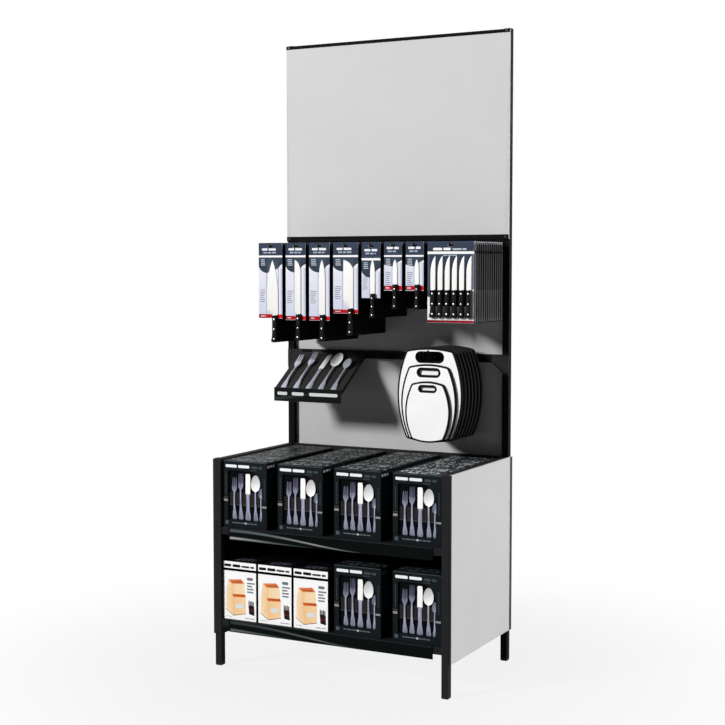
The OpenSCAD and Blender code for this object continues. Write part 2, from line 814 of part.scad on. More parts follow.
module knife_pack_stock() {
    color("#2c2c33") for (i = [0:steak], row = [1:pack_count - 1]) stock_pack(i, row);
}

// Barrel-shaped board outline: top width, widest width and height, bottom middle at the origin
module board_outline(top_w, width, height) {
    crown = board_h * 0.03;
    t = top_w / 2;
    w = width / 2;
    polygon(concat(
        bend([-t, height - crown], [0, height + crown], [t, height - crown], 10),
        bend([t, height - crown], [2 * w - t, height / 2], [t, crown], 14),
        bend([t, crown], [0, -crown], [-t, crown], 10),
        bend([-t, crown], [-2 * w + t, height / 2], [-t, height - crown], 14)));
}

// Board number i of a set with its rounded handle slot
module board(i) {
    share = board_shares[i];
    height = board_h * share[2];
    hole_w = board_slot_w * share[3];
    hole_h = board_slot_h * share[4];
    hole_z = height - board_slot_drop - hole_h / 2;
    rotate([90, 0, 0]) linear_extrude(board_t) difference() {
        board_outline(board_w * share[0], board_w * share[1], height);
        translate([0, hole_z]) square([hole_w - hole_h, hole_h], center = true);
        for (s = [-1, 1]) translate([s * (hole_w - hole_h) / 2, hole_z]) circle(d = hole_h);
    }
}

// A set of three boards, the back of the large one at y = 0 and all level at the bottom
module board_set() {
    for (i = [0:2]) color("#f4f4f4")
        translate([0, -i * (board_t + board_gap), board_top - board_h]) board(i);
}

module front_board_set() { translate([board_x, board_set_y, 0]) board_set(); }

module board_set_stock() {
    for (row = [1:set_count - 1])
        translate([board_x, board_set_y + row * set_pitch, 0]) board_set();
}

// Handle outline of a sample: [share of the length from the handle's end, share of the width]
handle_outline = [[0, 0.82], [0.015, 1], [0.1, 0.91], [0.3, 0.5], [0.525, 0.29]];
fork_head = [[0.64, 0.36], [0.7, 0.91], [0.75, 1.14], [1, 1.05]];
head_rise = 9;
knife_rise = 3;
tine_gap = 2.6;

// Height of a sample's back above the tray at share t of its length from the handle's end
function arch(t, rise) = rise * sin(180 * t) * (t < 0.62 ? 1 : 1 - (t - 0.62) * 1.2);

// Side view of a sample: a bent strip of steel, with its lowest points on the rest
module sample_side(length, rise) {
    n = 24;
    polygon(concat(
        [for (i = [0:n]) [length * i / n, arch(i / n, rise)]],
        [for (i = [n:-1:0]) [length * i / n, arch(i / n, rise) + sample_t]]));
}

// Keeps a plan outline, drawn along X, where the bent strip is
module sample_body(length, rise) {
    intersection() {
        translate([0, 0, -past]) linear_extrude(rise + sample_t + 2 * past) children();
        translate([0, table_bowl_w, 0]) rotate([90, 0, 0]) linear_extrude(2 * table_bowl_w)
            sample_side(length, rise);
    }
}

// Plan outline from a list of [share of the length, share of the handle's width] pairs
module plan(pairs, length) {
    w = handle_w / 2;
    polygon(concat([for (p = pairs) [p[0] * length, p[1] * w]],
        [for (i = [len(pairs) - 1:-1:0]) [pairs[i][0] * length, -pairs[i][1] * w]]));
}

module fork_sample(length, tines) {
    head_w = handle_w * fork_head[2][1];
    pitch = head_w / tines;
    sample_body(length, head_rise) difference() {
        plan(concat(handle_outline, fork_head), length);
        for (k = [1:tines - 1]) translate([length * 0.78, k * pitch - head_w / 2]) {
            translate([0, -tine_gap / 2]) square([length * 0.3, tine_gap]);
            circle(d = tine_gap, $fn = 16);
        }
    }
}

module spoon_sample(length, bowl_w) {
    bowl_l = bowl_w * 1.55;
    neck = (length - bowl_l) / length - 0.02;
    bowl = [for (a = [168:-12:0]) [1 - bowl_l / length / 2 * (1 - cos(a)),
        bowl_w / handle_w * sin(a) * (1 - 0.12 * cos(a))]];
    sample_body(length, head_rise) plan(concat(handle_outline, [[neck, 0.31]], bowl), length);
}

module knife_sample(length) {
    h = handle_w / 2;
    handle = [[0, 0.86], [0.02, 1.04], [0.09, 1], [0.33, 0.64], [0.46, 0.6], [0.48, 0.82]];
    sample_body(length, knife_rise) polygon(concat(
        [for (p = handle) [p[0] * length, -p[1] * h]],
        bend([length * 0.86, -h * 0.82], [length, -h * 0.7], [length, h * 0.2], 6),
        [[length * 0.97, h * 0.82]],
        [for (i = [len(handle) - 1:-1:0]) [handle[i][0] * length, handle[i][1] * h]]));
}

// Lays a sample on the sloped rest in place k, its handle's end against the lip
module on_tray(k) {
    translate([tray_x + (k - 2) * sample_pitch, tray_front_y + tray_t / 2, tray_low_z])
        rotate([tray_slope, 0, 0]) translate([0, lip_room, seat]) rotate([0, 0, 90]) children();
}

module salad_fork_sample() { color("#8d93a8") on_tray(0) fork_sample(salad_fork_l, 3); }
module dinner_fork_sample() { color("#8d93a8") on_tray(1) fork_sample(dinner_fork_l, 4); }
module table_knife_sample() { color("#e8e8ea") on_tray(2) knife_sample(table_knife_l); }
module table_spoon_sample() {
    color("#e8e8ea") on_tray(3) spoon_sample(table_spoon_l, table_bowl_w);
}
module tea_spoon_sample() { color("#8d93a8") on_tray(4) spoon_sample(tea_spoon_l, tea_bowl_w); }

// A closed carton with a shallow front window, its front bottom middle at the origin
module carton(width, depth, height, window) {
    difference() {
        translate([-width / 2, 0, 0]) cube([width, depth, height]);
        if (window) translate([-width * 0.38, -past, height * 0.13])
            cube([width * 0.76, past + window_recess, height * 0.64]);
    }
}

module flatware_box(i, z, row, window) {
    color("#1d2328") translate([lane_x(i), box_front_y + row * (box_d + box_gap), z])
        carton(box_w, box_d, box_h, window);
}

module block_box(i, row) {
    color("#f3f3f1") translate([block_x(i), box_front_y + row * (block_box_d + box_gap), low_shelf_z])
        carton(block_box_w, block_box_d, block_box_h, false);
}

module top_flatware_box_1() { flatware_box(1, top_shelf_z, 0, true); }
module top_flatware_box_2() { flatware_box(2, top_shelf_z, 0, true); }
module top_flatware_box_3() { flatware_box(3, top_shelf_z, 0, true); }
module top_flatware_box_4() { flatware_box(4, top_shelf_z, 0, true); }
module bottom_flatware_box_1() { flatware_box(3, low_shelf_z, 0, true); }
module bottom_flatware_box_2() { flatware_box(4, low_shelf_z, 0, true); }
module knife_block_box_1() { block_box(1, 0); }
module knife_block_box_2() { block_box(2, 0); }
module knife_block_box_3() { block_box(3, 0); }

module flatware_box_stock() {
    for (row = [1:box_rows - 1]) {
        for (i = [1:4]) flatware_box(i, top_shelf_z, row, false);
        for (i = [3:4]) flatware_box(i, low_shelf_z, row, false);
    }
}

module knife_block_box_stock() {
    for (i = [1:3], row = [1:block_rows - 1]) block_box(i, row);
}

left_upright();
right_upright();
left_front_leg();
right_front_leg();
tube_end_caps();
foot_glides();
top_crossbar();
header_crossbar();
hook_rail();
middle_crossbar();
base_crossbars();
side_rails();
corner_gussets();
frame_bolts();
header_top_channel();
header_bottom_channel();
header_panel();
upper_back_panel();
lower_back_panel();
base_back_panel();
panel_screws();
left_side_panel();
right_side_panel();
side_panel_trims();
top_shelf();
bottom_shelf();
top_shelf_sign();
bottom_shelf_sign();
knife_hooks();
board_hook();
sample_tray();
tray_brackets();
salad_fork_sample();
dinner_fork_sample();
table_knife_sample();
table_spoon_sample();
tea_spoon_sample();
chef_knife_pack();
slicing_knife_pack();
carving_knife_pack();
santoku_knife_pack();
utility_knife_pack();
paring_knife_pack();
peeling_knife_pack();
steak_knife_pack();
knife_pack_stock();
front_board_set();
board_set_stock();
top_flatware_box_1();
top_flatware_box_2();
top_flatware_box_3();
top_flatware_box_4();
bottom_flatware_box_1();
bottom_flatware_box_2();
knife_block_box_1();
knife_block_box_2();
knife_block_box_3();
flatware_box_stock();
knife_block_box_stock();
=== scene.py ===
"""Looks of a retail display rack stocked with kitchenware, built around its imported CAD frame.

The CAD frame keeps every tube, sheet, panel, wire and screw. The goods are rebuilt here in
finer meshes, in millimetres in the frame's own axes: X right, Y back and Z up.
"""

import json
import logging
import math
import random
from collections.abc import Iterable, Mapping, Sequence
from dataclasses import dataclass
from enum import Enum

import bmesh
import bpy
from mathutils import Matrix, Vector
from mathutils.geometry import tessellate_polygon

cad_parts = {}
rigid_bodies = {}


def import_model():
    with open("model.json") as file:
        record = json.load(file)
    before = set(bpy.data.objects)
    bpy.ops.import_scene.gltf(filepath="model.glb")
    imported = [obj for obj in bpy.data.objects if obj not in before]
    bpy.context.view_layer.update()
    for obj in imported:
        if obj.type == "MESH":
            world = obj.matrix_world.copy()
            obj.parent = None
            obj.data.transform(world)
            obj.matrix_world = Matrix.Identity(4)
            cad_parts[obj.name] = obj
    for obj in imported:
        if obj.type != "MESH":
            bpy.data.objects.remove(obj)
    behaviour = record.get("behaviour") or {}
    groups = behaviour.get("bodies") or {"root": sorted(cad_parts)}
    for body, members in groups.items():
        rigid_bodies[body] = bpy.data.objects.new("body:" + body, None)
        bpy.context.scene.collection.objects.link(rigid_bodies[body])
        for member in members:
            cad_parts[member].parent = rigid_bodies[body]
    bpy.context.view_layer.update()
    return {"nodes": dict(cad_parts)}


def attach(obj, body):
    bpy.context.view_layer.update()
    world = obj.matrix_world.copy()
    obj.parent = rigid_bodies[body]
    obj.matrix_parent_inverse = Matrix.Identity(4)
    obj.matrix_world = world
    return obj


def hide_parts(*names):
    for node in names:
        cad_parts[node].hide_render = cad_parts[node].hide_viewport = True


for leftover in list(bpy.data.objects):
    bpy.data.objects.remove(leftover)
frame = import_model()

# A millimetre in metres, and the thickness of one ink in millimetres.
MM = 0.001
INK_MM = 0.05
log = logging.getLogger("display_rack")

Point = tuple[float, float, float]
Outline = list[tuple[float, float]]
Colour = tuple[float, float, float, float]
Runs = tuple[tuple[tuple[float, float], ...], ...]


def linear(colour: str) -> Colour:
    """Turn an sRGB hex value into linear colour.

    Args:
        colour: The value, such as "#d3d3d3".

    Returns:
        Red, green, blue and an alpha of 1.
    """
    shares = [int(colour[i:i + 2], 16) / 255 for i in (1, 3, 5)]
    return (*(s / 12.92 if s <= 0.04045 else ((s + 0.055) / 1.055) ** 2.4 for s in shares), 1.0)


def add(tree: bpy.types.NodeTree, kind: str, inputs: Mapping[str | int, object] | None = None,
        **settings: object) -> bpy.types.Node:
    """Add a shader node with its settings, values and links.

    Args:
        tree: The node tree that takes it.
        kind: Blender's name for the node, without "ShaderNode".
        inputs: For each input, the socket that it is linked from, or its value.
        **settings: The node's own properties.

    Returns:
        The new node.
    """
    made = tree.nodes.new("ShaderNode" + kind)
    for name, value in settings.items():
        setattr(made, name, value)
    for name, value in (inputs or {}).items():
        if isinstance(value, bpy.types.NodeSocket):
            tree.links.new(value, made.inputs[name])
        else:
            made.inputs[name].default_value = value
    return made


# Finishes


@dataclass(frozen=True)
class Finish:
    """A real material and how its surface was made, turned into a shader when it is used."""

    name: str

    def material(self) -> bpy.types.Material:
        """Give the Blender material, made the first time that it is asked for.

        Returns:
            The material, shared by all that have this finish.
        """
        made = bpy.data.materials.get(self.name)
        if made is None:
            made = bpy.data.materials.new(self.name)
            made.use_nodes = True
            made.node_tree.nodes.clear()
            surface = self.shader(made.node_tree)
            add(made.node_tree, "OutputMaterial", {"Surface": surface.outputs[0]})
        return made

    def shader(self, tree: bpy.types.NodeTree) -> bpy.types.Node:
        """Build the surface shader and return its node."""
        raise NotImplementedError


@dataclass(frozen=True)
class Coated(Finish):
    """A coated, laminated or moulded surface: drifting colour, fine grain and rubbed edges."""

    colour: str
    drift: str
    roughness: float
    specular: float = 0.5
    drift_mm: float = 90.0
    grain_mm: float = 2.0
    grain_depth_mm: float = 0.05
    rub: float = 0.0

    def backed(self, tree: bpy.types.NodeTree, place: bpy.types.NodeSocket,
               colour: bpy.types.NodeSocket) -> bpy.types.NodeSocket:
        """Give the colour that the sheet has at a place: the same on both faces."""
        return colour

    def shader(self, tree: bpy.types.NodeTree) -> bpy.types.Node:
        """Mix two near colours over a slow noise, lift the edges, and bump with the grain.

        Args:
            tree: The node tree that takes it.

        Returns:
            The surface shader's node.
        """
        place = add(tree, "TexCoord").outputs["Object"]
        slow = add(tree, "TexNoise", {"Vector": place, "Scale": 1 / (self.drift_mm * MM),
                                      "Detail": 4.0, "Roughness": 0.6})
        spread = add(tree, "MapRange", {"Value": slow.outputs["Fac"], "From Min": 0.3,
                                        "From Max": 0.7})
        colour = add(tree, "Mix", {0: spread.outputs["Result"], 6: linear(self.colour),
                                   7: linear(self.drift)}, data_type="RGBA").outputs[2]
        if self.rub:
            soft = add(tree, "Bevel", {"Radius": 1.6 * MM}, samples=3)
            turn = add(tree, "VectorMath", {0: soft.outputs["Normal"],
                                            1: add(tree, "NewGeometry").outputs["Normal"]},
                       operation="DOT_PRODUCT")
            edge = add(tree, "MapRange", {"Value": turn.outputs["Value"], "From Min": 0.99,
                                          "From Max": 0.8, "To Min": 0.0, "To Max": self.rub})
            colour = add(tree, "Mix", {0: edge.outputs["Result"], 6: colour,
                                       7: linear("#8a8a8c")}, data_type="RGBA").outputs[2]
        colour = self.backed(tree, place, colour)
        fine = add(tree, "TexNoise", {"Vector": place, "Scale": 1 / (self.grain_mm * MM),
                                      "Detail": 3.0})
        gloss = add(tree, "MapRange", {"Value": slow.outputs["Fac"],
                                       "To Min": self.roughness - 0.05,
                                       "To Max": self.roughness + 0.05})
        bump = add(tree, "Bump", {"Height": fine.outputs["Fac"], "Strength": 0.6,
                                  "Distance": self.grain_depth_mm * MM})
        return add(tree, "BsdfPrincipled", {
            "Base Color": colour, "Roughness": gloss.outputs["Result"],
            "Normal": bump.outputs["Normal"], "Specular IOR Level": self.specular})


@dataclass(frozen=True)
class BackedSheet(Coated):
    """A coated sheet whose face towards the rack's middle has another colour."""

    backing: str = "#131314"
    backed_within_mm: float = 0.0

    def backed(self, tree: bpy.types.NodeTree, place: bpy.types.NodeSocket,
               colour: bpy.types.NodeSocket) -> bpy.types.NodeSocket:
        """Change to the backing's colour where X lies nearer the middle than a distance.

        Args:
            tree: The node tree that takes it.
            place: The point on the sheet.
            colour: The face's own colour.

        Returns:
            The colour with the backing in it.
        """
        across = add(tree, "SeparateXYZ", {"Vector": place}).outputs["X"]
        reach = add(tree, "Math", {0: across}, operation="ABSOLUTE").outputs[0]
        inner = add(tree, "Math", {0: reach, 1: self.backed_within_mm * MM},
                    operation="LESS_THAN").outputs[0]
        return add(tree, "Mix", {0: inner, 6: colour, 7: linear(self.backing)},
                   data_type="RGBA").outputs[2]


@dataclass(frozen=True)
class Ground(Finish):
    """Bare or plated metal with the fine lines that grinding or drawing left on it."""

    colour: str
    tarnish: str
    roughness: float
    line_mm: Point = (1.0, 1.0, 10.0)
    line_depth_mm: float = 0.02
    metallic: float = 1.0
    tinted: bool = False

    def shader(self, tree: bpy.types.NodeTree) -> bpy.types.Node:
        """Stretch one noise into lines and let it vary colour, gloss and height.

        Args:
            tree: The node tree that takes it.

        Returns:
            The surface shader's node.
        """
        place = add(tree, "TexCoord").outputs["Object"]
        lined = add(tree, "VectorMath", {0: place, 1: [1 / (s * MM) for s in self.line_mm]},
                    operation="MULTIPLY")
        lines = add(tree, "TexNoise", {"Vector": lined.outputs[0], "Scale": 1.0, "Detail": 3.0})
        colour = add(tree, "Mix", {0: lines.outputs["Fac"], 6: linear(self.colour),
                                   7: linear(self.tarnish)}, data_type="RGBA").outputs[2]
        if self.tinted:
            tint = add(tree, "Attribute", attribute_name="tint")
            colour = add(tree, "Mix", {0: 1.0, 6: colour, 7: tint.outputs["Color"]},
                         data_type="RGBA", blend_type="MULTIPLY").outputs[2]
        gloss = add(tree, "MapRange", {"Value": lines.outputs["Fac"],
                                       "To Min": self.roughness - 0.06,
                                       "To Max": self.roughness + 0.08})
        bump = add(tree, "Bump", {"Height": lines.outputs["Fac"], "Strength": 0.4,
                                  "Distance": self.line_depth_mm * MM})
        return add(tree, "BsdfPrincipled", {
            "Base Color": colour, "Metallic": self.metallic, "Roughness": gloss.outputs["Result"],
            "Normal": bump.outputs["Normal"]})


@dataclass(frozen=True)
class Printed(Finish):
    """Offset ink on coated board: the mesh's own tints, fibres showing through, and varnish."""

    roughness: float
    fibre_mm: float
    varnish: float

    def shader(self, tree: bpy.types.NodeTree) -> bpy.types.Node:
        """Multiply the tint that each patch carries by a soft fibre noise under a coat.

        Args:
            tree: The node tree that takes it.

        Returns:
            The surface shader's node.
        """
        place = add(tree, "TexCoord").outputs["Object"]
        tint = add(tree, "Attribute", attribute_name="tint")
        fibre = add(tree, "TexNoise", {"Vector": place, "Scale": 1 / (self.fibre_mm * MM),
                                       "Detail": 5.0, "Roughness": 0.7})
        shade = add(tree, "MapRange", {"Value": fibre.outputs["Fac"], "To Min": 0.88,
                                       "To Max": 1.08})
        colour = add(tree, "Mix", {0: 1.0, 6: tint.outputs["Color"],
                                   7: shade.outputs["Result"]},
                     data_type="RGBA", blend_type="MULTIPLY").outputs[2]
        bump = add(tree, "Bump", {"Height": fibre.outputs["Fac"], "Strength": 0.3,
                                  "Distance": 0.03 * MM})
        return add(tree, "BsdfPrincipled", {
            "Base Color": colour, "Roughness": self.roughness, "Normal": bump.outputs["Normal"],
            "Specular IOR Level": 0.04, "Coat Weight": self.varnish, "Coat Roughness": 0.2})


@dataclass(frozen=True)
class StudioFloor(Finish):
    """Matt white floor that keeps its shadows by the rack and turns plain white further off."""

    lift: float
    fade_mm: tuple[float, float]

    def shader(self, tree: bpy.types.NodeTree) -> bpy.types.Node:
        """Mix a diffuse floor with plain white for the rays that see the background.

        Args:
            tree: The node tree that takes it.

        Returns:
            The surface shader's node.
        """
        place = add(tree, "TexCoord").outputs["Object"]
        tooth = add(tree, "TexNoise", {"Vector": place, "Scale": 40.0, "Detail": 2.0})
        tone = add(tree, "Mix", {0: tooth.outputs["Fac"], 6: linear("#9c9c9c"),
                                 7: linear("#a4a4a4")}, data_type="RGBA")
        matt = add(tree, "BsdfDiffuse", {"Color": tone.outputs[2]})
        white = add(tree, "Emission", {"Color": linear("#ffffff"), "Strength": 1.0})
        away = add(tree, "VectorMath", {0: place}, operation="LENGTH")
        lift = add(tree, "MapRange", {"Value": away.outputs["Value"],
                                      "From Min": self.fade_mm[0] * MM,
                                      "From Max": self.fade_mm[1] * MM, "To Min": self.lift,
                                      "To Max": 1.0}, interpolation_type="SMOOTHSTEP")
        share = add(tree, "Math", {0: seen_rays(tree), 1: lift.outputs["Result"]},
                    operation="MULTIPLY")
        return add(tree, "MixShader", {0: share.outputs[0], 1: matt.outputs[0],
                                       2: white.outputs[0]})


def seen_rays(tree: bpy.types.NodeTree) -> bpy.types.NodeSocket:
    """Give a socket that is 1 for camera, glossy and transmission rays and 0 for the rest.

    Args:
        tree: The node tree that takes it.

    Returns:
        The socket.
    """
    path = add(tree, "LightPath").outputs
    some = add(tree, "Math", {0: path["Is Camera Ray"], 1: path["Is Glossy Ray"]},
               operation="MAXIMUM")
    return add(tree, "Math", {0: some.outputs[0], 1: path["Is Transmission Ray"]},
               operation="MAXIMUM").outputs[0]


# Mild steel tube, polyester powder sprayed and baked: a soft black satin with orange peel of
# about 2 mm and greyer rubbed corners.
TUBE_COAT = Coated("baked_powder_on_tube", "#212123", "#262628", 0.6, 0.03, 70, 2.4, 0.08, 0.2)
# The same powder on the upper frame, coloured darker than on the tubes below: painted shade.
SHADED_UPPER_COAT = Coated("baked_powder_in_painted_shade", "#0b0b0c", "#101011", 0.6, 0.03, 70, 2.4, 0.08,
                    0.12)
# Sheet steel, folded and powder coated in the same black: flatter and a little glossier.
SHEET_COAT = Coated("baked_powder_on_sheet", "#19191b", "#1e1e20", 0.55, 0.05, 120, 2.0, 0.06, 0.2)
# Plate of 3 mm with the same powder, coloured lighter than on the tubes: painted light on its
# flat faces.
LIT_PLATE_COAT = Coated("baked_powder_in_painted_light", "#262628", "#2a2a2c", 0.58, 0.05, 70, 2.0, 0.08,
                    0.2)
# The tray's sheet has the same powder, hammered in texture and rubbed greyer by hands.
TRAY_COAT = Coated("hammered_powder_on_tray", "#2b2b2a", "#333332", 0.6, 0.05, 60, 1.6, 0.1, 0.2)
# Drawn wire dipped in black vinyl: smooth, round-edged and wet looking.
WIRE_DIP = Coated("vinyl_dipped_wire", "#111112", "#161617", 0.3, 0.2, 40, 3.0, 0.04, 0.1)
# Injection-moulded polyethylene caps and glides: dull, with spark-eroded grain.
MOULDED_PE = Coated("moulded_polyethylene", "#0e0e0f", "#141415", 0.55, 0.15, 25, 1.2, 0.05, 0.12)
# Machine screws, black zinc plated: dark metal, ring-turned heads.
BLACK_ZINC = Ground("black_zinc_plate", "#3a3a3d", "#26262a", 0.36, (0.8, 0.8, 0.8), 0.02)
# Expanded PVC sheet for the header: even light grey, satin, with a faint calender ripple.
HEADER_SHEET = Coated("calendered_pvc_sheet", "#d0d0d0", "#d4d4d4", 0.6, 0.12, 260, 6.0, 0.03)
# Hardboard with a grey paint coat rolled on: the roller's stipple is about 3 mm.
BACK_SHEET = Coated("rolled_paint_on_hardboard", "#b8b8b8", "#bebebe", 0.65, 0.12, 200, 3.0, 0.06)
# The same board painted black behind the base.
BASE_SHEET = Coated("rolled_black_on_hardboard", "#121214", "#18181a", 0.6, 0.12, 160, 3.0, 0.06)
# High-pressure laminate on board for the sides: light grey with a pearl texture of 1.5 mm
# outside, and near black on the face that looks into the base.
SIDE_LAMINATE = BackedSheet("pressed_laminate", "#cacaca", "#cecece", 0.5, 0.15, 240, 1.6, 0.03,
                            backing="#131314", backed_within_mm=458.4)
# Extruded PVC edge trim: black, drawn smooth, glossier than the frame.
EDGE_PVC = Coated("extruded_pvc_trim", "#0f0f10", "#151515", 0.4, 0.15, 60, 4.0, 0.03, 0.1)
# Cast acrylic shelf signs printed from behind: deep gloss black with a faint green tint.
SIGN_ACRYLIC = Coated("back_printed_acrylic", "#040908", "#070d0d", 0.24, 0.03, 180, 8.0, 0.01)
# Screen print on the signs: a thin satin ink.
SIGN_PRINT = Printed("screen_print_on_acrylic", 0.4, 6.0, 0.04)
# Laminated vinyl strip on the tray's front: smooth, and a little duller than the signs.
STRIP_PRINT = Printed("laminated_vinyl_strip", 0.5, 5.0, 0.03)
# Blades of hardened stainless steel, belt ground across the edge. The real lines are 0.1 mm
# apart and are drawn at 1 mm so that they show.
BLADE_STEEL = Ground("belt_ground_stainless", "#bab9b6", "#a2a19f", 0.46, (8.0, 3.0, 1.0), 0.02,
                     0.75)
# Flatware of 18/10 stainless steel, stamped and tumbled to a cool polish. The mesh's tints
# darken it a little along the handle and the shank.
FLATWARE_STEEL = Ground("tumbled_stainless", "#e6e9f2", "#bcc1d2", 0.4, (6.0, 6.0, 6.0), 0.04,
                        0.5, True)
# The same flatware behind a carton's window, coloured darker and bluer than the loose pieces:
# painted shade inside the carton, with a bluish tint for the window's film.
CARTON_SHADE_STEEL = Ground("filmed_stainless_in_painted_shade", "#dde1f6", "#292d58", 0.38, (3.5, 3.5, 40.0), 0.04,
                      0.6, True)
# The table knife's blade and the big spoon's bowl: nearly white and barely metallic, with a
# soft shine. The white is a painted reflection of bright light on the steel.
WHITE_SHEEN_STEEL = Ground("stainless_with_painted_reflection", "#ffffff", "#f2f1f0", 0.45, (9.0, 9.0, 9.0), 0.03, 0.05,
                      True)
# Rivets and bolsters: turned stainless, polished bright.
RIVET_STEEL = Ground("polished_rivet_steel", "#c8c8c6", "#b0b0b0", 0.3, (1.5, 1.5, 1.5), 0.02)
# Moulded acetal handles: dense black, satin, with wear polish on the high spots.
HANDLE_ACETAL = Coated("moulded_acetal", "#0a0a0b", "#101011", 0.4, 0.08, 18, 1.5, 0.04)
# The same handles in the stock, coloured darker: painted shade, as hardly any light reaches them.
SHADED_STOCK_ACETAL = Coated("moulded_acetal_in_painted_shade", "#050506", "#080809", 0.6, 0.04, 18, 1.5, 0.04)
# High-density polyethylene board: bright white with a pebbled cutting face of 1.8 mm.
BOARD_HDPE = Coated("pebbled_hdpe", "#fafaf9", "#ffffff", 0.48, 0.3, 60, 1.8, 0.12)
# The same board coloured near black for the stock behind: painted shade over the row of sets.
SHADED_STOCK_HDPE = Coated("pebbled_hdpe_in_painted_shade", "#1c1c1d", "#232324", 0.5, 0.12, 60, 1.8, 0.12)
# Soft thermoplastic rubber moulded round the boards' edges: matt black grip.
RIM_RUBBER = Coated("overmoulded_rubber", "#050506", "#0b0b0c", 0.62, 0.06, 20, 1.5, 0.08)
# The stock's rims, dark grey where the front rims are black: painted light from the right.
LIT_STOCK_RUBBER = Coated("rubber_in_painted_light", "#1d1d1e", "#242425", 0.7, 0.06, 20, 1.5, 0.08)
# White-lined card with litho print and a gloss varnish: hang cards.
CARD_PRINT = Printed("varnished_hang_card", 0.4, 3.0, 0.03)
# Corrugated carton with a litho sheet glued on: board fibres of about 4 mm telegraph through.
CARTON_PRINT = Printed("litho_carton", 0.48, 4.0, 0.02)
# Flocked tray that holds the flatware behind a carton's window.
WINDOW_FLOCK = Coated("flocked_tray", "#050608", "#0a0b0e", 0.9, 0.04, 12, 1.2, 0.15)


# Outlines, shapes and printed sheets


class Facing(Enum):
    """Which way a flat outline looks once it stands in the rack."""

    FRONT = -1
    TOP = 1
    SIDE = 2

    def put(self, across: float, up: float, depth: float) -> Point:
        """Give the point in the rack for an outline's point at a depth.

        Args:
            across: The point's place across the outline.
            up: Its place up the outline.
            depth: How far along the face's axis it lies.

        Returns:
            The point, in millimetres.
        """
        if self is Facing.FRONT:
            return (across, depth, up)
        return (across, up, depth) if self is Facing.TOP else (depth, across, up)

    def outward(self) -> float:
        """Give the sign of the depth that leads out of the face."""
        return -1.0 if self is Facing.FRONT else 1.0


@dataclass(frozen=True)
class Ink:
    """One printed tint, or two that run into each other along an axis of the rack."""

    first: str = "#808080"
    last: str = ""
    axis: int = 0

    def over(self, points: Sequence[Point]) -> list[Colour]:
        """Give each point its tint.

        Args:
            points: The points of a patch.

        Returns:
            A colour for each of them.
        """
        start = linear(self.first)
        if not self.last:
            return [start] * len(points)
        end, places = linear(self.last), [p[self.axis] for p in points]
        low, reach = min(places), max(max(places) - min(places), 1e-9)
        return [tuple(a + (b - a) * (at - low) / reach for a, b in zip(start, end))
                for at in places]


PLAIN = Ink()


def between(first: str, last: str, share: float) -> str:
    """Give the hex value that lies a share of the way from one to another."""
    pairs = ((int(first[i:i + 2], 16), int(last[i:i + 2], 16)) for i in (1, 3, 5))
    return "#" + "".join(f"{round(a + (b - a) * share):02x}" for a, b in pairs)


def curve(start: tuple[float, float], pull: tuple[float, float], end: tuple[float, float],
          steps: int) -> Outline:
    """Give the points of a quadratic curve, its two ends included.

    Args:
        start: Its first point.
        pull: The point that bends it.
        end: Its last point.
        steps: How many straight pieces it has.

    Returns:
        The points in order.
    """
    return [tuple((1 - t) ** 2 * a + 2 * t * (1 - t) * b + t * t * c
                  for a, b, c in zip(start, pull, end))
            for t in (i / steps for i in range(steps + 1))]


def follow(runs: Runs, half: float, length: float, steps: int) -> Outline:
    """Turn runs of points in shares of a half width and a length into an outline.

    Args:
        runs: The runs. One of three points is a curve, and the others are straight.
        half: Half the width.
        length: The length.
        steps: How many straight pieces a curve has.

    Returns:
        The outline, in millimetres.
    """
    found: Outline = []
    for run in runs:
        points = [(half * x, length * z) for x, z in run]
        found += curve(*points, steps) if len(points) == 3 else points
    return found


def rounded(left: float, low: float, right: float, high: float, radius: float,
            steps: int = 3) -> Outline:
    """Give a rectangle with rounded corners, counterclockwise.

    Args:
        left: Its left side.
        low: Its lower side.
        right: Its right side.
        high: Its upper side.
        radius: The corners' radius.
        steps: How many straight pieces a corner has.

    Returns:
        Its outline.
    """
    found: Outline = []
    for turn, (x, y) in enumerate(((right - radius, low + radius), (right - radius, high - radius),
                                   (left + radius, high - radius), (left + radius, low + radius))):
        for i in range(steps + 1):
            angle = math.radians(90 * (turn - 1) + 90 * i / steps)
            at = (x + radius * math.cos(angle), y + radius * math.sin(angle))
            if not found or math.dist(at, found[-1]) > 1e-6:
                found.append(at)
    return found[:-1] if math.dist(found[0], found[-1]) < 1e-6 else found


def span(outline: Outline, level: float) -> tuple[float, float]:
    """Give the least and greatest across value where an outline crosses a level.

    Args:
        outline: The outline.
        level: The height to look at.

    Returns:
        The two values.
    """
    found = [a[0] + (b[0] - a[0]) * (level - a[1]) / (b[1] - a[1])
             for a, b in zip(outline, outline[1:] + outline[:1])
             if min(a[1], b[1]) <= level <= max(a[1], b[1]) and a[1] != b[1]]
    return min(found), max(found)


def inset(outline: Outline, distance: float) -> Outline:
    """Move a counterclockwise outline inwards by a distance, or outwards by a negative one.

    Args:
        outline: The outline.
        distance: How far to move it.

    Returns:
        The moved outline.
    """
    found: Outline = []
    for before, at, after in zip(outline[-1:] + outline[:-1], outline, outline[1:] + outline[:1]):
        sides = [Vector((b[1] - a[1], a[0] - b[0])).normalized() for a, b in
                 ((before, at), (at, after))]
        normal = (sides[0] + sides[1]).normalized()
        reach = distance / max(normal.dot(sides[0]), 0.4)
        found.append((at[0] - normal.x * reach, at[1] - normal.y * reach))
    return found


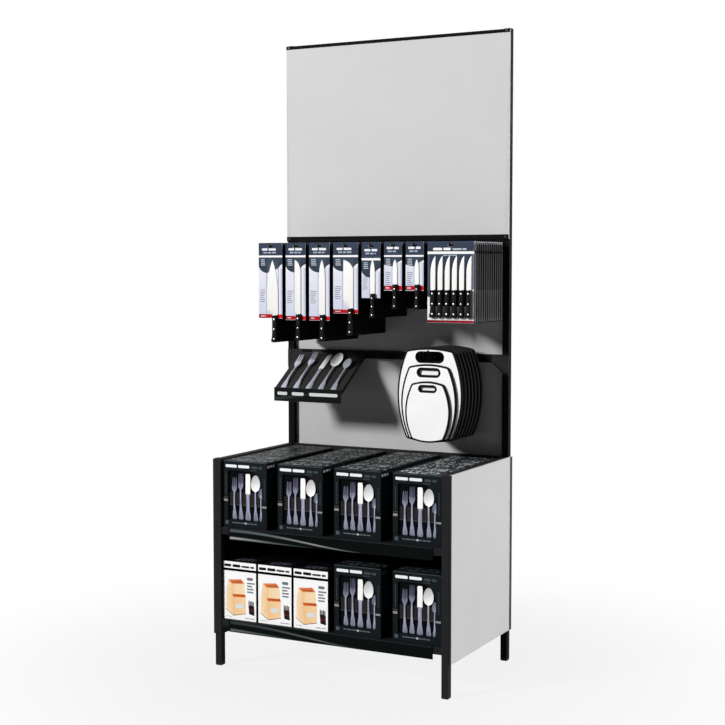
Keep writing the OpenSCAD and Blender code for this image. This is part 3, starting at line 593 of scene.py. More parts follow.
class Shape:
    """A mesh being put together in millimetres, with a finish and tint for each part."""

    def __init__(self) -> None:
        """Start with nothing in it."""
        self.points: list[Point] = []
        self.tints: list[Colour] = []
        self.faces: list[tuple[int, ...]] = []
        self.finish_of: list[int] = []
        self.finishes: list[Finish] = []

    def add(self, points: list[Point], faces: Iterable[Sequence[int]], finish: Finish,
            ink: Ink = PLAIN) -> None:
        """Add points and the faces between them.

        Args:
            points: The points in millimetres.
            faces: The points of each face, by number.
            finish: What they are made of.
            ink: Their print, where they are printed.
        """
        base = len(self.points)
        if finish not in self.finishes:
            self.finishes.append(finish)
        self.points += points
        self.tints += ink.over(points)
        for face in faces:
            self.faces.append(tuple(base + i for i in face))
            self.finish_of.append(self.finishes.index(finish))

    def plate(self, outline: Outline, near: float, far: float, finish: Finish, ink: Ink = PLAIN,
              holes: Sequence[Outline] = (), facing: Facing = Facing.FRONT) -> None:
        """Add a closed flat plate.

        Args:
            outline: Its edge.
            near: The depth of one face.
            far: The depth of the other face.
            finish: What it is made of.
            ink: Its print, where it is printed.
            holes: The edges of its openings.
            facing: Which way it looks.
        """
        loops = [outline, *holes]
        count = sum(map(len, loops))
        points = [facing.put(*p, depth) for depth in (near, far) for loop in loops for p in loop]
        caps: list[Sequence[int]] = [range(count)]
        if holes:
            caps = tessellate_polygon([[Vector((*p, 0)) for p in loop] for loop in loops])
        faces = [tuple(i + shift for i in cap) for cap in caps for shift in (0, count)]
        start = 0
        for loop in loops:
            size = len(loop)
            ends = [(start + i, start + (i + 1) % size) for i in range(size)]
            faces += [(a, b, b + count, a + count) for a, b in ends]
            start += size
        self.add(points, faces, finish, ink)

    def loft(self, rings: Sequence[Sequence[Point]], finish: Finish, ink: Ink = PLAIN,
             around: bool = False) -> None:
        """Join rings of one length in order, and close the ends or run them round in a loop.

        Args:
            rings: The sections, each with as many points.
            finish: What it is made of.
            ink: Its print, where it is printed.
            around: Whether the last ring is joined to the first.
        """
        size, count = len(rings[0]), len(rings)
        faces: list[Sequence[int]] = [
            (r * size + i, r * size + (i + 1) % size, (r + 1) % count * size + (i + 1) % size,
             (r + 1) % count * size + i)
            for r in range(count if around else count - 1) for i in range(size)]
        if not around:
            faces += [range(size), range((count - 1) * size, count * size)]
        self.add([p for ring in rings for p in ring], faces, finish, ink)

    def block(self, low: Point, high: Point, radius: float, finish: Finish,
              ink: Ink = PLAIN) -> None:
        """Add a carton-like block with all its edges softened.

        Args:
            low: Its lowest corner.
            high: Its highest corner.
            radius: How far the edges are rounded.
            finish: What it is made of.
            ink: Its print.
        """
        rings = []
        for level, pull in ((low[2], radius), (low[2] + radius, 0), (high[2] - radius, 0),
                            (high[2], radius)):
            edge = rounded(low[0] + pull, low[1] + pull, high[0] - pull, high[1] - pull,
                           max(radius - pull, 0.05), 2)
            rings.append([(x, y, level) for x, y in edge])
        self.loft(rings, finish, ink)

    def stud(self, middle: Point, radius: float, far: float, finish: Finish) -> None:
        """Add a domed disc that looks to the front, from a point on its back to a depth.

        Args:
            middle: The middle of its back.
            radius: Its radius.
            far: The depth of its front.
            finish: What it is made of.
        """
        rings = []
        for depth, share in ((middle[1], 1.0), (middle[1] + (far - middle[1]) * 0.6, 1.0),
                             (far, 0.72)):
            rings.append([(middle[0] + radius * share * math.cos(a),
                           depth, middle[2] + radius * share * math.sin(a))
                          for a in (math.tau * i / 14 for i in range(14))])
        self.loft(rings, finish)

    def take(self, other: "Shape", place: Matrix) -> None:
        """Add a copy of another shape, moved by a matrix in millimetres.

        Args:
            other: The shape that is copied.
            place: The move.
        """
        base = len(self.points)
        self.points += [tuple(place @ Vector(p)) for p in other.points]
        self.tints += other.tints
        self.faces += [tuple(base + i for i in face) for face in other.faces]
        for index in other.finish_of:
            finish = other.finishes[index]
            if finish not in self.finishes:
                self.finishes.append(finish)
            self.finish_of.append(self.finishes.index(finish))

    def piece(self, name: str, body: str, slot: str, replaces: Sequence[str] = (),
              copies: int = 1, pitch: float = 0.0, crease: float = 35.0) -> bpy.types.Object:
        """Turn the shape into a named piece of the rack.

        Args:
            name: The piece's name.
            body: The CAD body that it rides on.
            slot: The name of a material slot in the record; not used.
            replaces: The CAD nodes that it stands for.
            copies: How many of it stand in a row towards the back.
            pitch: The distance between them in millimetres.
            crease: The angle in degrees above which an edge stays sharp.

        Returns:
            The new object.
        """
        mesh = bpy.data.meshes.new(name)
        mesh.from_pydata([[c * MM for c in p] for p in self.points], [], self.faces)
        for finish in self.finishes:
            mesh.materials.append(finish.material())
        mesh.polygons.foreach_set("material_index", self.finish_of)
        tint = mesh.color_attributes.new("tint", "FLOAT_COLOR", "POINT")
        tint.data.foreach_set("color", [c for one in self.tints for c in one])
        work = bmesh.new()
        work.from_mesh(mesh)
        bmesh.ops.recalc_face_normals(work, faces=work.faces)
        work.to_mesh(mesh)
        work.free()
        mesh.shade_smooth()
        mesh.set_sharp_from_angle(angle=math.radians(crease))
        made = bpy.data.objects.new(name, mesh)
        bpy.context.scene.collection.objects.link(made)
        if copies > 1:
            row = made.modifiers.new("row", "ARRAY")
            row.count = copies
            row.use_relative_offset = False
            row.use_constant_offset = True
            row.constant_offset_displace = (0, pitch * MM, 0)
        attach(made, body)
        if replaces:
            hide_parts(*replaces)
        log.info("%s rides on %s: %d faces, %d in a row", name, body, len(self.faces), copies)
        return made


@dataclass
class Sheet:
    """A face that takes print, measured in millimetres from its upper left corner."""

    shape: Shape
    left: float
    top: float
    depth: float
    finish: Finish
    facing: Facing = Facing.FRONT

    def patch(self, outline: Outline, ink: Ink, layer: int = 1) -> None:
        """Lay down a patch of ink whose outline is across and down the sheet.

        Args:
            outline: The patch's edge.
            ink: Its tint.
            layer: How many inks deep it lies.
        """
        self.shape.plate([(self.left + x, self.top - y) for x, y in outline], self.depth,
                         self.depth + self.facing.outward() * INK_MM * layer, self.finish, ink,
                         facing=self.facing)

    def bar(self, x0: float, y0: float, x1: float, y1: float, ink: Ink, layer: int = 1) -> None:
        """Lay down a plain bar."""
        self.patch([(x0, y0), (x1, y0), (x1, y1), (x0, y1)], ink, layer)

    def words(self, x0: float, x1: float, y0: float, y1: float, ink: Ink, seed: int,
              longest: float = 6.0, layer: int = 2) -> None:
        """Lay down a row of plain round-ended bars of uneven lengths.

        Args:
            x0: The row's left end.
            x1: The row's right end.
            y0: The bars' top.
            y1: The bars' bottom.
            ink: Their tint.
            seed: Fixes their lengths.
            longest: The longest bar's length as a multiple of its height.
            layer: How many inks deep they lie.
        """
        draw = random.Random(seed)
        height, at = y1 - y0, x0
        while at < x1 - height:
            end = min(at + height * longest * draw.uniform(0.45, 1.0), x1)
            self.patch(rounded(at, y0, end, y1, height * 0.3, 2), ink, layer)
            at = end + height * 0.55

    def specks(self, area: tuple[float, float, float, float], pitch: tuple[float, float],
               tints: Sequence[str], seed: int) -> None:
        """Fill an area with rows of short bars of mixed tints.

        Args:
            area: Its left end, top, right end and bottom.
            pitch: The usual distance between bars across and down.
            tints: The tints that they are drawn from.
            seed: Fixes the bars' places, sizes and tints.
        """
        draw = random.Random(seed)
        x0, y0, x1, y1 = area
        across, down = pitch
        for row in range(int((y1 - y0) / down)):
            at, y = x0 + draw.uniform(0, across), y0 + row * down
            while at < x1 - across:
                self.bar(at, y + draw.uniform(0, 0.2) * down, at + across * draw.uniform(0.4, 0.9),
                         y + down * draw.uniform(0.6, 0.9), Ink(draw.choice(tints)))
                at += across * draw.uniform(0.8, 1.35)

    def bars(self, size: tuple[float, float],
             rows: Iterable[tuple[float, float, float, float, str, int]]) -> None:
        """Lay down plain bars whose ends are given in shares of the sheet's size.

        Args:
            size: The sheet's width and height.
            rows: For each bar its left end, top, right end, bottom, tint and layer.
        """
        w, h = size
        for x0, y0, x1, y1, tint, layer in rows:
            self.bar(w * x0, h * y0, w * x1, h * y1, Ink(tint), layer)

    def texts(self, size: tuple[float, float],
              rows: Iterable[tuple[float, float, float, float, str, int, float]]) -> None:
        """Lay down rows of words whose ends are given in shares of the sheet's size.

        Args:
            size: The sheet's width and height.
            rows: For each row its left and right end, top, bottom, tint, seed and longest bar.
        """
        w, h = size
        for x0, x1, y0, y1, tint, seed, longest in rows:
            self.words(w * x0, w * x1, h * y0, h * y1, Ink(tint), seed, longest)

    def lines(self, x0: float, x1: float, y0: float, pitch: float, count: int, height: float,
              ink: Ink, seed: int, layer: int = 2) -> None:
        """Lay down thin ragged lines one under another.

        Args:
            x0: Their left end.
            x1: The longest line's right end.
            y0: The first line's top.
            pitch: The distance from one to the next.
            count: How many there are.
            height: Their height.
            ink: Their tint.
            seed: Fixes their lengths.
            layer: How many inks deep they lie.
        """
        draw = random.Random(seed)
        for row in range(count):
            end = x0 + (x1 - x0) * draw.uniform(0.6, 1.0)
            self.bar(x0, y0 + row * pitch, end, y0 + row * pitch + height, ink, layer)


# The studio


@dataclass(frozen=True)
class Lamp:
    """A soft square lamp that looks at the rack's middle."""

    name: str
    place: Point
    size: float
    watts: float


@dataclass
class Studio:
    """White studio: camera, lamps, world and floor."""

    eye: Point = (2.3336, -4.5115, 1.4219)
    azimuth: float = 27.389
    pitch: float = 3.750
    lens: float = 70.69
    sensor: float = 36.0
    clip_end: float = 200.0
    aim: Point = (0.0, 0.0, 1.1)
    world_level: float = 0.04
    floor_half: float = 40.0
    lamps: tuple[Lamp, ...] = (Lamp("key_lamp", (-11.2, -16.8, 9.6), 3.6, 5080.0),
                               Lamp("side_lamp", (9.0, 2.2, 2.6), 3.6, 720.0),
                               Lamp("back_lamp", (0.0, 10.0, 3.2), 3.0, 560.0))

    def build(self) -> None:
        """Set the stage and the view transform."""
        scene = bpy.context.scene
        scene.view_settings.view_transform = "Standard"
        self.camera(scene)
        self.world(scene)
        self.floor(scene)
        for lamp in self.lamps:
            data = bpy.data.lights.new(lamp.name, "AREA")
            data.energy, data.size = lamp.watts, lamp.size
            made = bpy.data.objects.new(lamp.name, data)
            made.location = lamp.place
            towards = Vector(self.aim) - Vector(lamp.place)
            made.rotation_euler = towards.to_track_quat("-Z", "Y").to_euler()
            scene.collection.objects.link(made)
        log.info("studio: camera, %d lamps, world and floor", len(self.lamps))

    def camera(self, scene: bpy.types.Scene) -> None:
        """Put the camera at the photographer's place.

        Args:
            scene: The scene that it serves.
        """
        data = bpy.data.cameras.new("camera")
        data.lens, data.sensor_width, data.clip_end = self.lens, self.sensor, self.clip_end
        made = bpy.data.objects.new("camera", data)
        made.location = self.eye
        made.rotation_euler = (math.radians(90 - self.pitch), 0, math.radians(self.azimuth))
        scene.collection.objects.link(made)
        scene.camera = made

    def world(self, scene: bpy.types.Scene) -> None:
        """Light evenly from all round, and show plain white behind the rack.

        Args:
            scene: The scene that it serves.
        """
        world = bpy.data.worlds.new("white_studio")
        world.use_nodes = True
        tree = world.node_tree
        tree.nodes.clear()
        level = add(tree, "MapRange", {"Value": seen_rays(tree), "To Min": self.world_level,
                                       "To Max": 1.0})
        light = add(tree, "Background", {"Color": linear("#ffffff"),
                                         "Strength": level.outputs["Result"]})
        add(tree, "OutputWorld", {"Surface": light.outputs[0]})
        scene.world = world

    def floor(self, scene: bpy.types.Scene) -> None:
        """Lay the floor, which isn't part of the rack.

        Args:
            scene: The scene that takes it.
        """
        half = self.floor_half
        mesh = bpy.data.meshes.new("studio_floor")
        mesh.from_pydata([(-half, -half, 0), (half, -half, 0), (half, half, 0), (-half, half, 0)],
                         [], [(0, 1, 2, 3)])
        mesh.materials.append(StudioFloor("matt_white_floor", 0.85, (450.0, 1900.0)).material())
        made = bpy.data.objects.new("studio_floor", mesh)
        scene.collection.objects.link(made)


# The rack's own parts


@dataclass(frozen=True)
class Dressing:
    """The finish of some CAD nodes and the radius that softens their sharp edges."""

    finish: Finish
    edge_mm: float
    nodes: tuple[str, ...]


@dataclass(frozen=True)
class Sweep:
    """A soft sweep that falls along a sign, in shares of the sign's width and height."""

    reach: float
    drop: tuple[float, float]
    bend: float
    thick: tuple[float, float]
    tints: tuple[str, ...]

    def lay(self, sheet: Sheet, size: tuple[float, float], strength: float) -> None:
        """Print the sweep in three inks, each narrower and stronger than the one below it.

        Args:
            sheet: The sign's face.
            size: The sign's width and height.
            strength: How far the inks stand out from the sign.
        """
        parts, steps = len(self.tints) - 1, 8
        for layer, (share, ink_share) in enumerate(((1.0, 0.42), (0.68, 0.72), (0.36, 1.0))):
            for part in range(parts):
                edges: tuple[Outline, Outline] = ([], [])
                for i in range(steps + 1):
                    u = (part + i / steps) / parts
                    fall = u ** self.bend
                    x = (0.008 + self.reach * u) * size[0]
                    y = (self.drop[0] + (self.drop[1] - self.drop[0])
                         * fall * fall * (3 - 2 * fall)) * size[1]
                    half = share * (self.thick[0] + (self.thick[1] - self.thick[0]) * u) / 2
                    for edge, side in zip(edges, (-half, half)):
                        edge.append((x, min(y + side, size[1] - 0.6)))
                first, last = (between("#080d0d", tint, strength * ink_share)
                               for tint in self.tints[part:part + 2])
                sheet.patch(edges[0] + edges[1][::-1], Ink(first, last), 2 + layer)


@dataclass
class Rack:
    """The rack's own parts, kept from the CAD frame, and the prints that they carry."""

    dressings: tuple[Dressing, ...] = (
        Dressing(TUBE_COAT, 0.8, ("left_front_leg", "right_front_leg", "base_crossbars",
                                  "side_rails")),
        # The upper frame and the header's channels take the darker copy of the powder: painted
        # shade.
        Dressing(SHADED_UPPER_COAT, 0.8, ("left_upright", "right_upright", "top_crossbar",
                                   "header_crossbar", "hook_rail", "middle_crossbar")),
        Dressing(SHADED_UPPER_COAT, 0.5, ("header_top_channel", "header_bottom_channel")),
        Dressing(SHEET_COAT, 0.5, ("top_shelf", "bottom_shelf")),
        # The gussets take the lighter copy of the powder: painted light.
        Dressing(LIT_PLATE_COAT, 0.5, ("corner_gussets",)),
        Dressing(TRAY_COAT, 0.5, ("sample_tray", "tray_brackets")),
        Dressing(MOULDED_PE, 0.6, ("tube_end_caps", "foot_glides")),
        Dressing(BLACK_ZINC, 0.25, ("frame_bolts", "panel_screws")),
        Dressing(HEADER_SHEET, 0.6, ("header_panel",)),
        Dressing(BACK_SHEET, 0.0, ("upper_back_panel", "lower_back_panel")),
        Dressing(BASE_SHEET, 0.0, ("base_back_panel",)),
        Dressing(SIDE_LAMINATE, 0.8, ("left_side_panel", "right_side_panel")),
        Dressing(EDGE_PVC, 0.5, ("side_panel_trims",)),
        Dressing(SIGN_ACRYLIC, 0.5, ("top_shelf_sign", "bottom_shelf_sign")),
        Dressing(WIRE_DIP, 0.3, ("knife_hooks", "board_hook")))
    sweeps: tuple[Sweep, ...] = (
        Sweep(0.66, (0.2, 0.97), 1.2, (14.0, 4.0), ("#4c5656", "#646c6c", "#9c9c98", "#161c1c")),
        Sweep(0.42, (0.82, 0.99), 1.0, (12.0, 5.0), ("#aeaeaa", "#5a6261", "#101616")))
    sign_tops: tuple[float, float] = (503.0, 171.0)
    sign_half_w: float = 400.0
    sign_h: float = 43.0
    sign_face: float = -273.5
    tray_left: float = -402.0
    tray_right: float = -118.0
    tray_low: float = 931.0
    tray_high: float = 982.0
    tray_face: float = 49.5

    def build(self) -> None:
        """Dress the CAD nodes and print the signs and the tray's front."""
        for dressing in self.dressings:
            for name in dressing.nodes:
                self.dress(name, dressing)
        for top, name, strength in zip(self.sign_tops, ("top", "bottom"), (1.0, 0.58)):
            self.sign_print(top, f"{name}_shelf_sign_print", strength)
        self.tray_print()

    def dress(self, name: str, dressing: Dressing) -> None:
        """Give a CAD node its finish and soften its edges with modifiers alone.

        Args:
            name: The node.
            dressing: Its finish and edge radius.
        """
        node = frame["nodes"][name]
        for slot in node.material_slots:
            slot.material = dressing.finish.material()
        weld = node.modifiers.new("weld", "WELD")
        weld.merge_threshold = 1e-5
        log.info("%s is finished in %s", name, dressing.finish.name)
        if not dressing.edge_mm:
            return
        soft = node.modifiers.new("soft_edges", "BEVEL")
        soft.width, soft.segments = dressing.edge_mm * MM, 2
        soft.limit_method, soft.angle_limit = "ANGLE", math.radians(40)
        soft.harden_normals = True

    def sign_print(self, top: float, name: str, strength: float) -> None:
        """Print two soft grey sweeps and a thin top line on a shelf sign.

        Args:
            top: The sign's upper edge.
            name: The print's name.
            strength: How far the sweeps stand out.
        """
        shape, width = Shape(), 2 * self.sign_half_w
        sheet = Sheet(shape, -self.sign_half_w, top, self.sign_face, SIGN_PRINT)
        sheet.bar(6, 1.4, width - 6, 3.2, Ink("#272d2e"))
        for sweep in self.sweeps:
            sweep.lay(sheet, (width, self.sign_h), strength)
        shape.piece(name, "rack", "sign_gloss")

    def tray_print(self) -> None:
        """Fix a thin printed strip to the tray's front: plain bars over a soft sweep."""
        shape, width = Shape(), self.tray_right - self.tray_left
        height = self.tray_high - self.tray_low
        shape.plate(rounded(self.tray_left + 1, self.tray_low + 1, self.tray_right - 1,
                            self.tray_high - 1, 1.5), self.tray_face, self.tray_face - 0.3,
                    STRIP_PRINT, Ink("#070a0a", "#050808"))
        sheet = Sheet(shape, self.tray_left, self.tray_high, self.tray_face - 0.3, STRIP_PRINT)
        upper = curve((4, height * 0.72), (width * 0.4, height * 0.5), (width * 0.72, 5), 20)
        lower = curve((4, height - 4), (width * 0.46, height * 0.72), (width * 0.73, 6), 20)
        sheet.patch(upper + lower[::-1], Ink("#2c3333", "#0c1212"))
        for x0, x1 in ((0.05, 0.2), (0.27, 0.45), (0.53, 0.95)):
            sheet.patch(rounded(width * x0, 16, width * x1, 28, 5), Ink("#d6dad8"), 2)
        shape.piece("tray_front_print", "rack", "sheet_steel")


# Knives on hang cards


# The front cards' faces, a card's thickness and top, and the drop from there to the blade tips.
CARD_FRONT = -21.53
CARD_T = 1.2
CARD_TOP = 1518.0
TIP_DROP = 62.0
# A hang slot's width, height and upper edge, and the clip of a card's top corners.
SLOT = (22.0, 9.0, 1508.8)
CARD_CLIP = 2.1
# The gap between a piece and its seat.
SEAT = 0.3
# How many packs hang behind the front one, and the distance between them.
STOCK_PACKS = 13
PACK_PITCH = 20.0
# The points of a blade's or handle's curves.
KNIFE_STEPS = 9


class Blade(Enum):
    """The outline of a blade in runs, from its heel up to its tip and down again."""

    CHEF = (((1, 0),), ((1, 0.42), (0.8, 0.8), (0, 1)), ((0, 1), (-0.95, 0.72), (-1, 0.36)),
            ((-1, 0.03), (0, 0)))
    SANTOKU = (((1, 0),), ((1, 0.79), (0.75, 0.94), (-0.93, 1)), ((-1, 0.15), (-0.6, 0.08)),
               ((0, 0),))
    STEAK = (((1, 0),), ((1, 1), (-0.9, 0.82), (-1, 0.5)), ((-1, 0),))
    SLICER = (((1, 0),), ((1, 0.72), (1, 0.95), (-1, 1)), ((-1, 0),))
    CARVER = (((1, 0),), ((1, 0.6), (0.8, 0.9), (0, 1)), ((0, 1), (-1, 0.85), (-1, 0.5)),
              ((-1, 0),))


# A handle's outline in runs, from its bolster down to its hooked butt and up again.
HANDLE: Runs = (((-0.8, 0),), ((0.8, 0), (1, -0.2), (0.85, -0.5)),
                ((0.85, -0.5), (0.8, -0.8), (1, -0.93)), ((0.8, -1), (-1, -1)),
                ((-1.25, -0.94), (-0.75, -0.8), (-0.8, -0.5)))


@dataclass(frozen=True)
class Knife:
    """A riveted knife held against a card, its bolster at z 0 and its blade up."""

    style: Blade
    blade_l: float
    blade_w: float
    handle_l: float
    handle_w: float
    blade_left: float
    blade_t: float = 2.0
    handle_t: float = 13.0
    rivet_drop: float = 17.5
    last_rivet: float = 0.87
    rivet_r: float = 2.8

    def add_to(self, shape: Shape, x: float, z: float, fine: bool = True) -> None:
        """Add the knife to a pack's shape, finely or plainly made.

        Args:
            shape: The shape that takes it.
            x: The handle's middle.
            z: The bolster's height.
            fine: Whether it has smooth curves and rivets.
        """
        self.add_blade(shape, x - self.blade_left, z, 26 if fine else 7)
        self.add_handle(shape, x, z, fine)
        if not fine:
            return
        face = CARD_FRONT - SEAT - self.handle_t
        reach = self.handle_l * self.last_rivet - self.rivet_drop
        for i in range(3):
            shape.stud((x, face + 0.5, z - self.rivet_drop - reach * i / 2),
                       self.rivet_r * self.handle_w / 22, face - 0.55, RIVET_STEEL)

    def add_blade(self, shape: Shape, x: float, z: float, steps: int) -> None:
        """Loft the blade with a flat spine, a ground face and a thin edge on the left.

        Args:
            shape: The shape that takes it.
            x: The blade's middle.
            z: The bolster's height.
            steps: How many sections it has, less one.
        """
        outline = follow(self.style.value, self.blade_w / 2, self.blade_l, KNIFE_STEPS)
        back = CARD_FRONT - SEAT
        rings = []
        for i in range(steps + 1):
            share = 1 - (1 - i / steps) ** 1.6
            level = 0.15 + (self.blade_l - 0.45) * share
            left, right = span(outline, level)
            width, thick = right - left, self.blade_t * (1 - 0.45 * share)
            middle = back - thick / 2
            flank, bevel = right - width * 0.42, left + width * 0.12
            section = ((right, back), (right, back - thick), (flank, back - thick),
                       (bevel, middle - thick * 0.22), (left, middle - 0.1),
                       (left, middle + 0.1), (bevel, middle + thick * 0.22), (flank, back))
            rings.append([(x + across, depth, z + level) for across, depth in section])
        shape.loft(rings, BLADE_STEEL)

    def add_handle(self, shape: Shape, x: float, z: float, fine: bool) -> None:
        """Loft the rounded handle below a short steel bolster.

        Args:
            shape: The shape that takes it.
            x: The handle's middle.
            z: The bolster's height.
            fine: Whether it has smooth curves.
        """
        outline = follow(HANDLE, self.handle_w / 2, self.handle_l, KNIFE_STEPS)
        half_t, collar, squareness = self.handle_t / 2, 1.3, 0.62
        steps, sides = (22, 14) if fine else (8, 8)

        def ring(level: float, pull: float) -> list[Point]:
            """Give the handle's section at a level.

            Args:
                level: The level, below 0 on the handle.
                pull: How far the section is drawn in.

            Returns:
                The section's points in order.
            """
            left, right = span(outline, level)
            half = (right - left) / 2 - pull
            found = []
            for i in range(sides):
                angle = math.tau * (i + 0.5) / sides
                c, s = (math.copysign(abs(turn) ** squareness, turn)
                        for turn in (math.cos(angle), math.sin(angle)))
                found.append((x + (left + right) / 2 + half * c,
                              CARD_FRONT - SEAT - half_t + (half_t - pull) * s, z + level))
            return found

        shape.loft([ring(level, pull) for level, pull in
                    ((-0.1, 1.4), (-0.5, 0.6), (-collar, 0.3))], RIVET_STEEL)
        levels = [collar + (self.handle_l - collar - 1.6) * i / steps for i in range(steps + 1)]
        rings = [ring(-collar, 0.8)] + [ring(-level, 0.0) for level in levels]
        # The stock's plain handles take the darker acetal: painted shade.
        shape.loft(rings + [ring(-self.handle_l + 0.7, 0.6), ring(-self.handle_l + 0.1, 2.2)],
                   HANDLE_ACETAL if fine else SHADED_STOCK_ACETAL)


@dataclass(frozen=True)
class CardPrint:
    """Where the tints of a hang card lie, in millimetres down from its top."""

    header: float
    stripe: tuple[float, float]
    left_panel: tuple[float, float]
    right_panel: tuple[float, float]
    band: tuple[float, float] | None


TALL_PRINT = CardPrint(43, (46, 53), (86, 110), (78, 94), (261, 275))
LONG_PRINT = CardPrint(43, (46, 53), (86, 108), (78, 92), (266, 280))
SHORT_PRINT = CardPrint(41, (47, 53), (80, 86), (65, 74), (154, 169))

# The cards' inks.
SLATE = "#3b4558"
PANEL_SLATE = "#3a4756"
LILAC = "#d3d6ea"
LILAC_SHADE = "#9fa4c2"
WARM_WHITE = "#f8f8fb"


@dataclass(frozen=True)
class HangPack:
    """A knife, or a set of six, on a hang card, and the stock behind it on the same hook."""

    body: str
    x: float
    width: float
    height: float
    knife: Knife
    handle_right: float
    art: CardPrint
    set_of: int = 1
    set_pitch: float = 27.0
    raised: float = 0.0

    def build(self) -> None:
        """Build the front pack and the row of stock packs."""
        front = Shape()
        self.add_card(front, Ink(LILAC, WARM_WHITE, 2))
        if self.set_of > 1:
            self.print_set(front)
        else:
            self.print_single(front)
        self.add_knives(front, True)
        front.piece(f"{self.body}_front_pack", self.body, "knife_packs", [f"{self.body}_pack"])
        stock = Shape()
        # The stock's cards are near black, though the real ones are pale: painted shade between the
        # packs.
        self.add_card(stock, Ink("#2b2b2f" if self.set_of > 1 else "#0c0c0f"))
        self.print_stock(stock)
        self.add_knives(stock, False)
        behind = Shape()
        behind.take(stock, Matrix.Translation((0, PACK_PITCH, 0)))
        behind.piece(f"{self.body}_stock_row", "rack", "knife_packs", ["knife_pack_stock"],
                     STOCK_PACKS, PACK_PITCH)

    def bolster(self) -> float:
        """Give the height of the knives' bolsters."""
        return CARD_TOP - TIP_DROP + self.raised - self.knife.blade_l

    def add_knives(self, shape: Shape, fine: bool) -> None:
        """Fix the knives to the card.

        Args:
            shape: The shape that takes it.
            fine: Whether they are made finely.
        """
        for i in range(self.set_of):
            self.knife.add_to(shape, self.x + self.handle_right
                              + (i - (self.set_of - 1) / 2) * self.set_pitch, self.bolster(), fine)

    def add_card(self, shape: Shape, ink: Ink) -> None:
        """Cut the card with its clipped top corners and its hang slot.

        Args:
            shape: The shape that takes it.
            ink: The tint of the bare card.
        """
        shape.plate(self.edge(CARD_TOP - self.height), CARD_FRONT, CARD_FRONT + CARD_T,
                    CARD_PRINT, ink, [self.slot_edge(0.0)])

    def edge(self, low: float) -> Outline:
        """Give the card's edge above a height, with its clipped top corners.

        Args:
            low: The height.

        Returns:
            The edge, counterclockwise.
        """
        left, right = self.x - self.width / 2, self.x + self.width / 2
        return [(left, low), (right, low), (right, CARD_TOP - CARD_CLIP),
                (right - CARD_CLIP, CARD_TOP), (left + CARD_CLIP, CARD_TOP),
                (left, CARD_TOP - CARD_CLIP)]

    def slot_edge(self, grow: float) -> Outline:
        """Give the hang slot's edge, grown by a distance.

        Args:
            grow: The distance.

        Returns:
            The slot's outline.
        """
        width, height, top = SLOT
        return rounded(self.x - width / 2 - grow, top - height - grow, self.x + width / 2 + grow,
                       top + grow, height / 2 + grow, 6)

    def sheet(self, shape: Shape) -> Sheet:
        """Give the card's front as a printable sheet."""
        return Sheet(shape, self.x - self.width / 2, CARD_TOP, CARD_FRONT, CARD_PRINT)

    def ring_header(self, shape: Shape, down: float, ink: Ink) -> None:
        """Print the card's header round the hang slot.

        Args:
            shape: The shape that takes it.
            down: How far down the header reaches.
            ink: Its tint.
        """
        shape.plate(self.edge(CARD_TOP - down), CARD_FRONT, CARD_FRONT - INK_MM, CARD_PRINT, ink,
                    [self.slot_edge(0.3)])

    def print_single(self, shape: Shape) -> None:
        """Print a one-knife card: header, stripe, curved shoulders, plain bars and a band.

        Args:
            shape: The shape that takes it.
        """
        art, w, h = self.art, self.width, self.height
        sheet = self.sheet(shape)
        self.ring_header(shape, art.header, Ink("#333d50", SLATE, 2))
        sheet.bar(0, art.header, w, art.stripe[0], Ink(SLATE))
        sheet.bar(0, art.stripe[0], w, art.stripe[1], Ink("#ffffff"))
        middle = w / 2 + self.handle_right - self.knife.blade_left
        left_x, right_x = middle - self.knife.blade_w * 0.5, middle + self.knife.blade_w * 0.5
        top = art.stripe[1]
        panel = Ink("#2f3b48", PANEL_SLATE, 2)
        sheet.patch([(0, top), (left_x, top)]
                    + curve((left_x, art.left_panel[1]), (left_x * 0.3, art.left_panel[1] - 1),
                            (0, art.left_panel[0]), 10), panel)
        sheet.patch([(right_x, top), (w, top)]
                    + curve((w, art.right_panel[0]), ((w + right_x) / 2, art.right_panel[0] + 2),
                            (right_x, art.right_panel[1]), 10), panel)
        sheet.patch([(left_x, top), (right_x, top), (right_x, art.right_panel[1]),
                     (left_x, art.left_panel[1])], Ink("#4b5866", "#3c4956", 2))
        low = art.band[0] if art.band else h
        for x0, x1, start, ink in (
                (left_x - 4, left_x + 1, art.left_panel[1], Ink(LILAC_SHADE, LILAC)),
                (right_x - 1, right_x + 4, art.right_panel[1], Ink(LILAC, LILAC_SHADE))):
            sheet.bar(x0, start, x1, low, ink)
        sheet.bar(right_x + 4, art.right_panel[1], w, low, Ink(WARM_WHITE, "#b9bdd6"))
        lower = art.header - TALL_PRINT.header
        sheet.words(w * 0.14, w * 0.83, 20 + lower, 28 + lower, Ink("#f4f6fa"), 3, 5.2)
        sheet.words(w * 0.2, w * 0.76, 33 + lower, 38.5 + lower, Ink("#aab4c4"), 4, 5.0)
        sheet.lines(w * 0.1, w * 0.1 + (left_x - w * 0.1) * 0.72, top + 7, 6.5, 4, 3.0,
                    Ink("#c3ccd6"), 5)
        sheet.lines(w * 0.07, max(left_x - 6, w * 0.16), h * 0.62, 7, 7, 2.6, Ink("#85889e"), 6)
        if art.band:
            sheet.bar(0, art.band[0], w, art.band[1], Ink("#8f0f16", "#dd1a1c"))
            sheet.words(w * 0.08, w * 0.3, art.band[0] + 5, art.band[1] - 5, Ink("#f2c6c8"), 7)

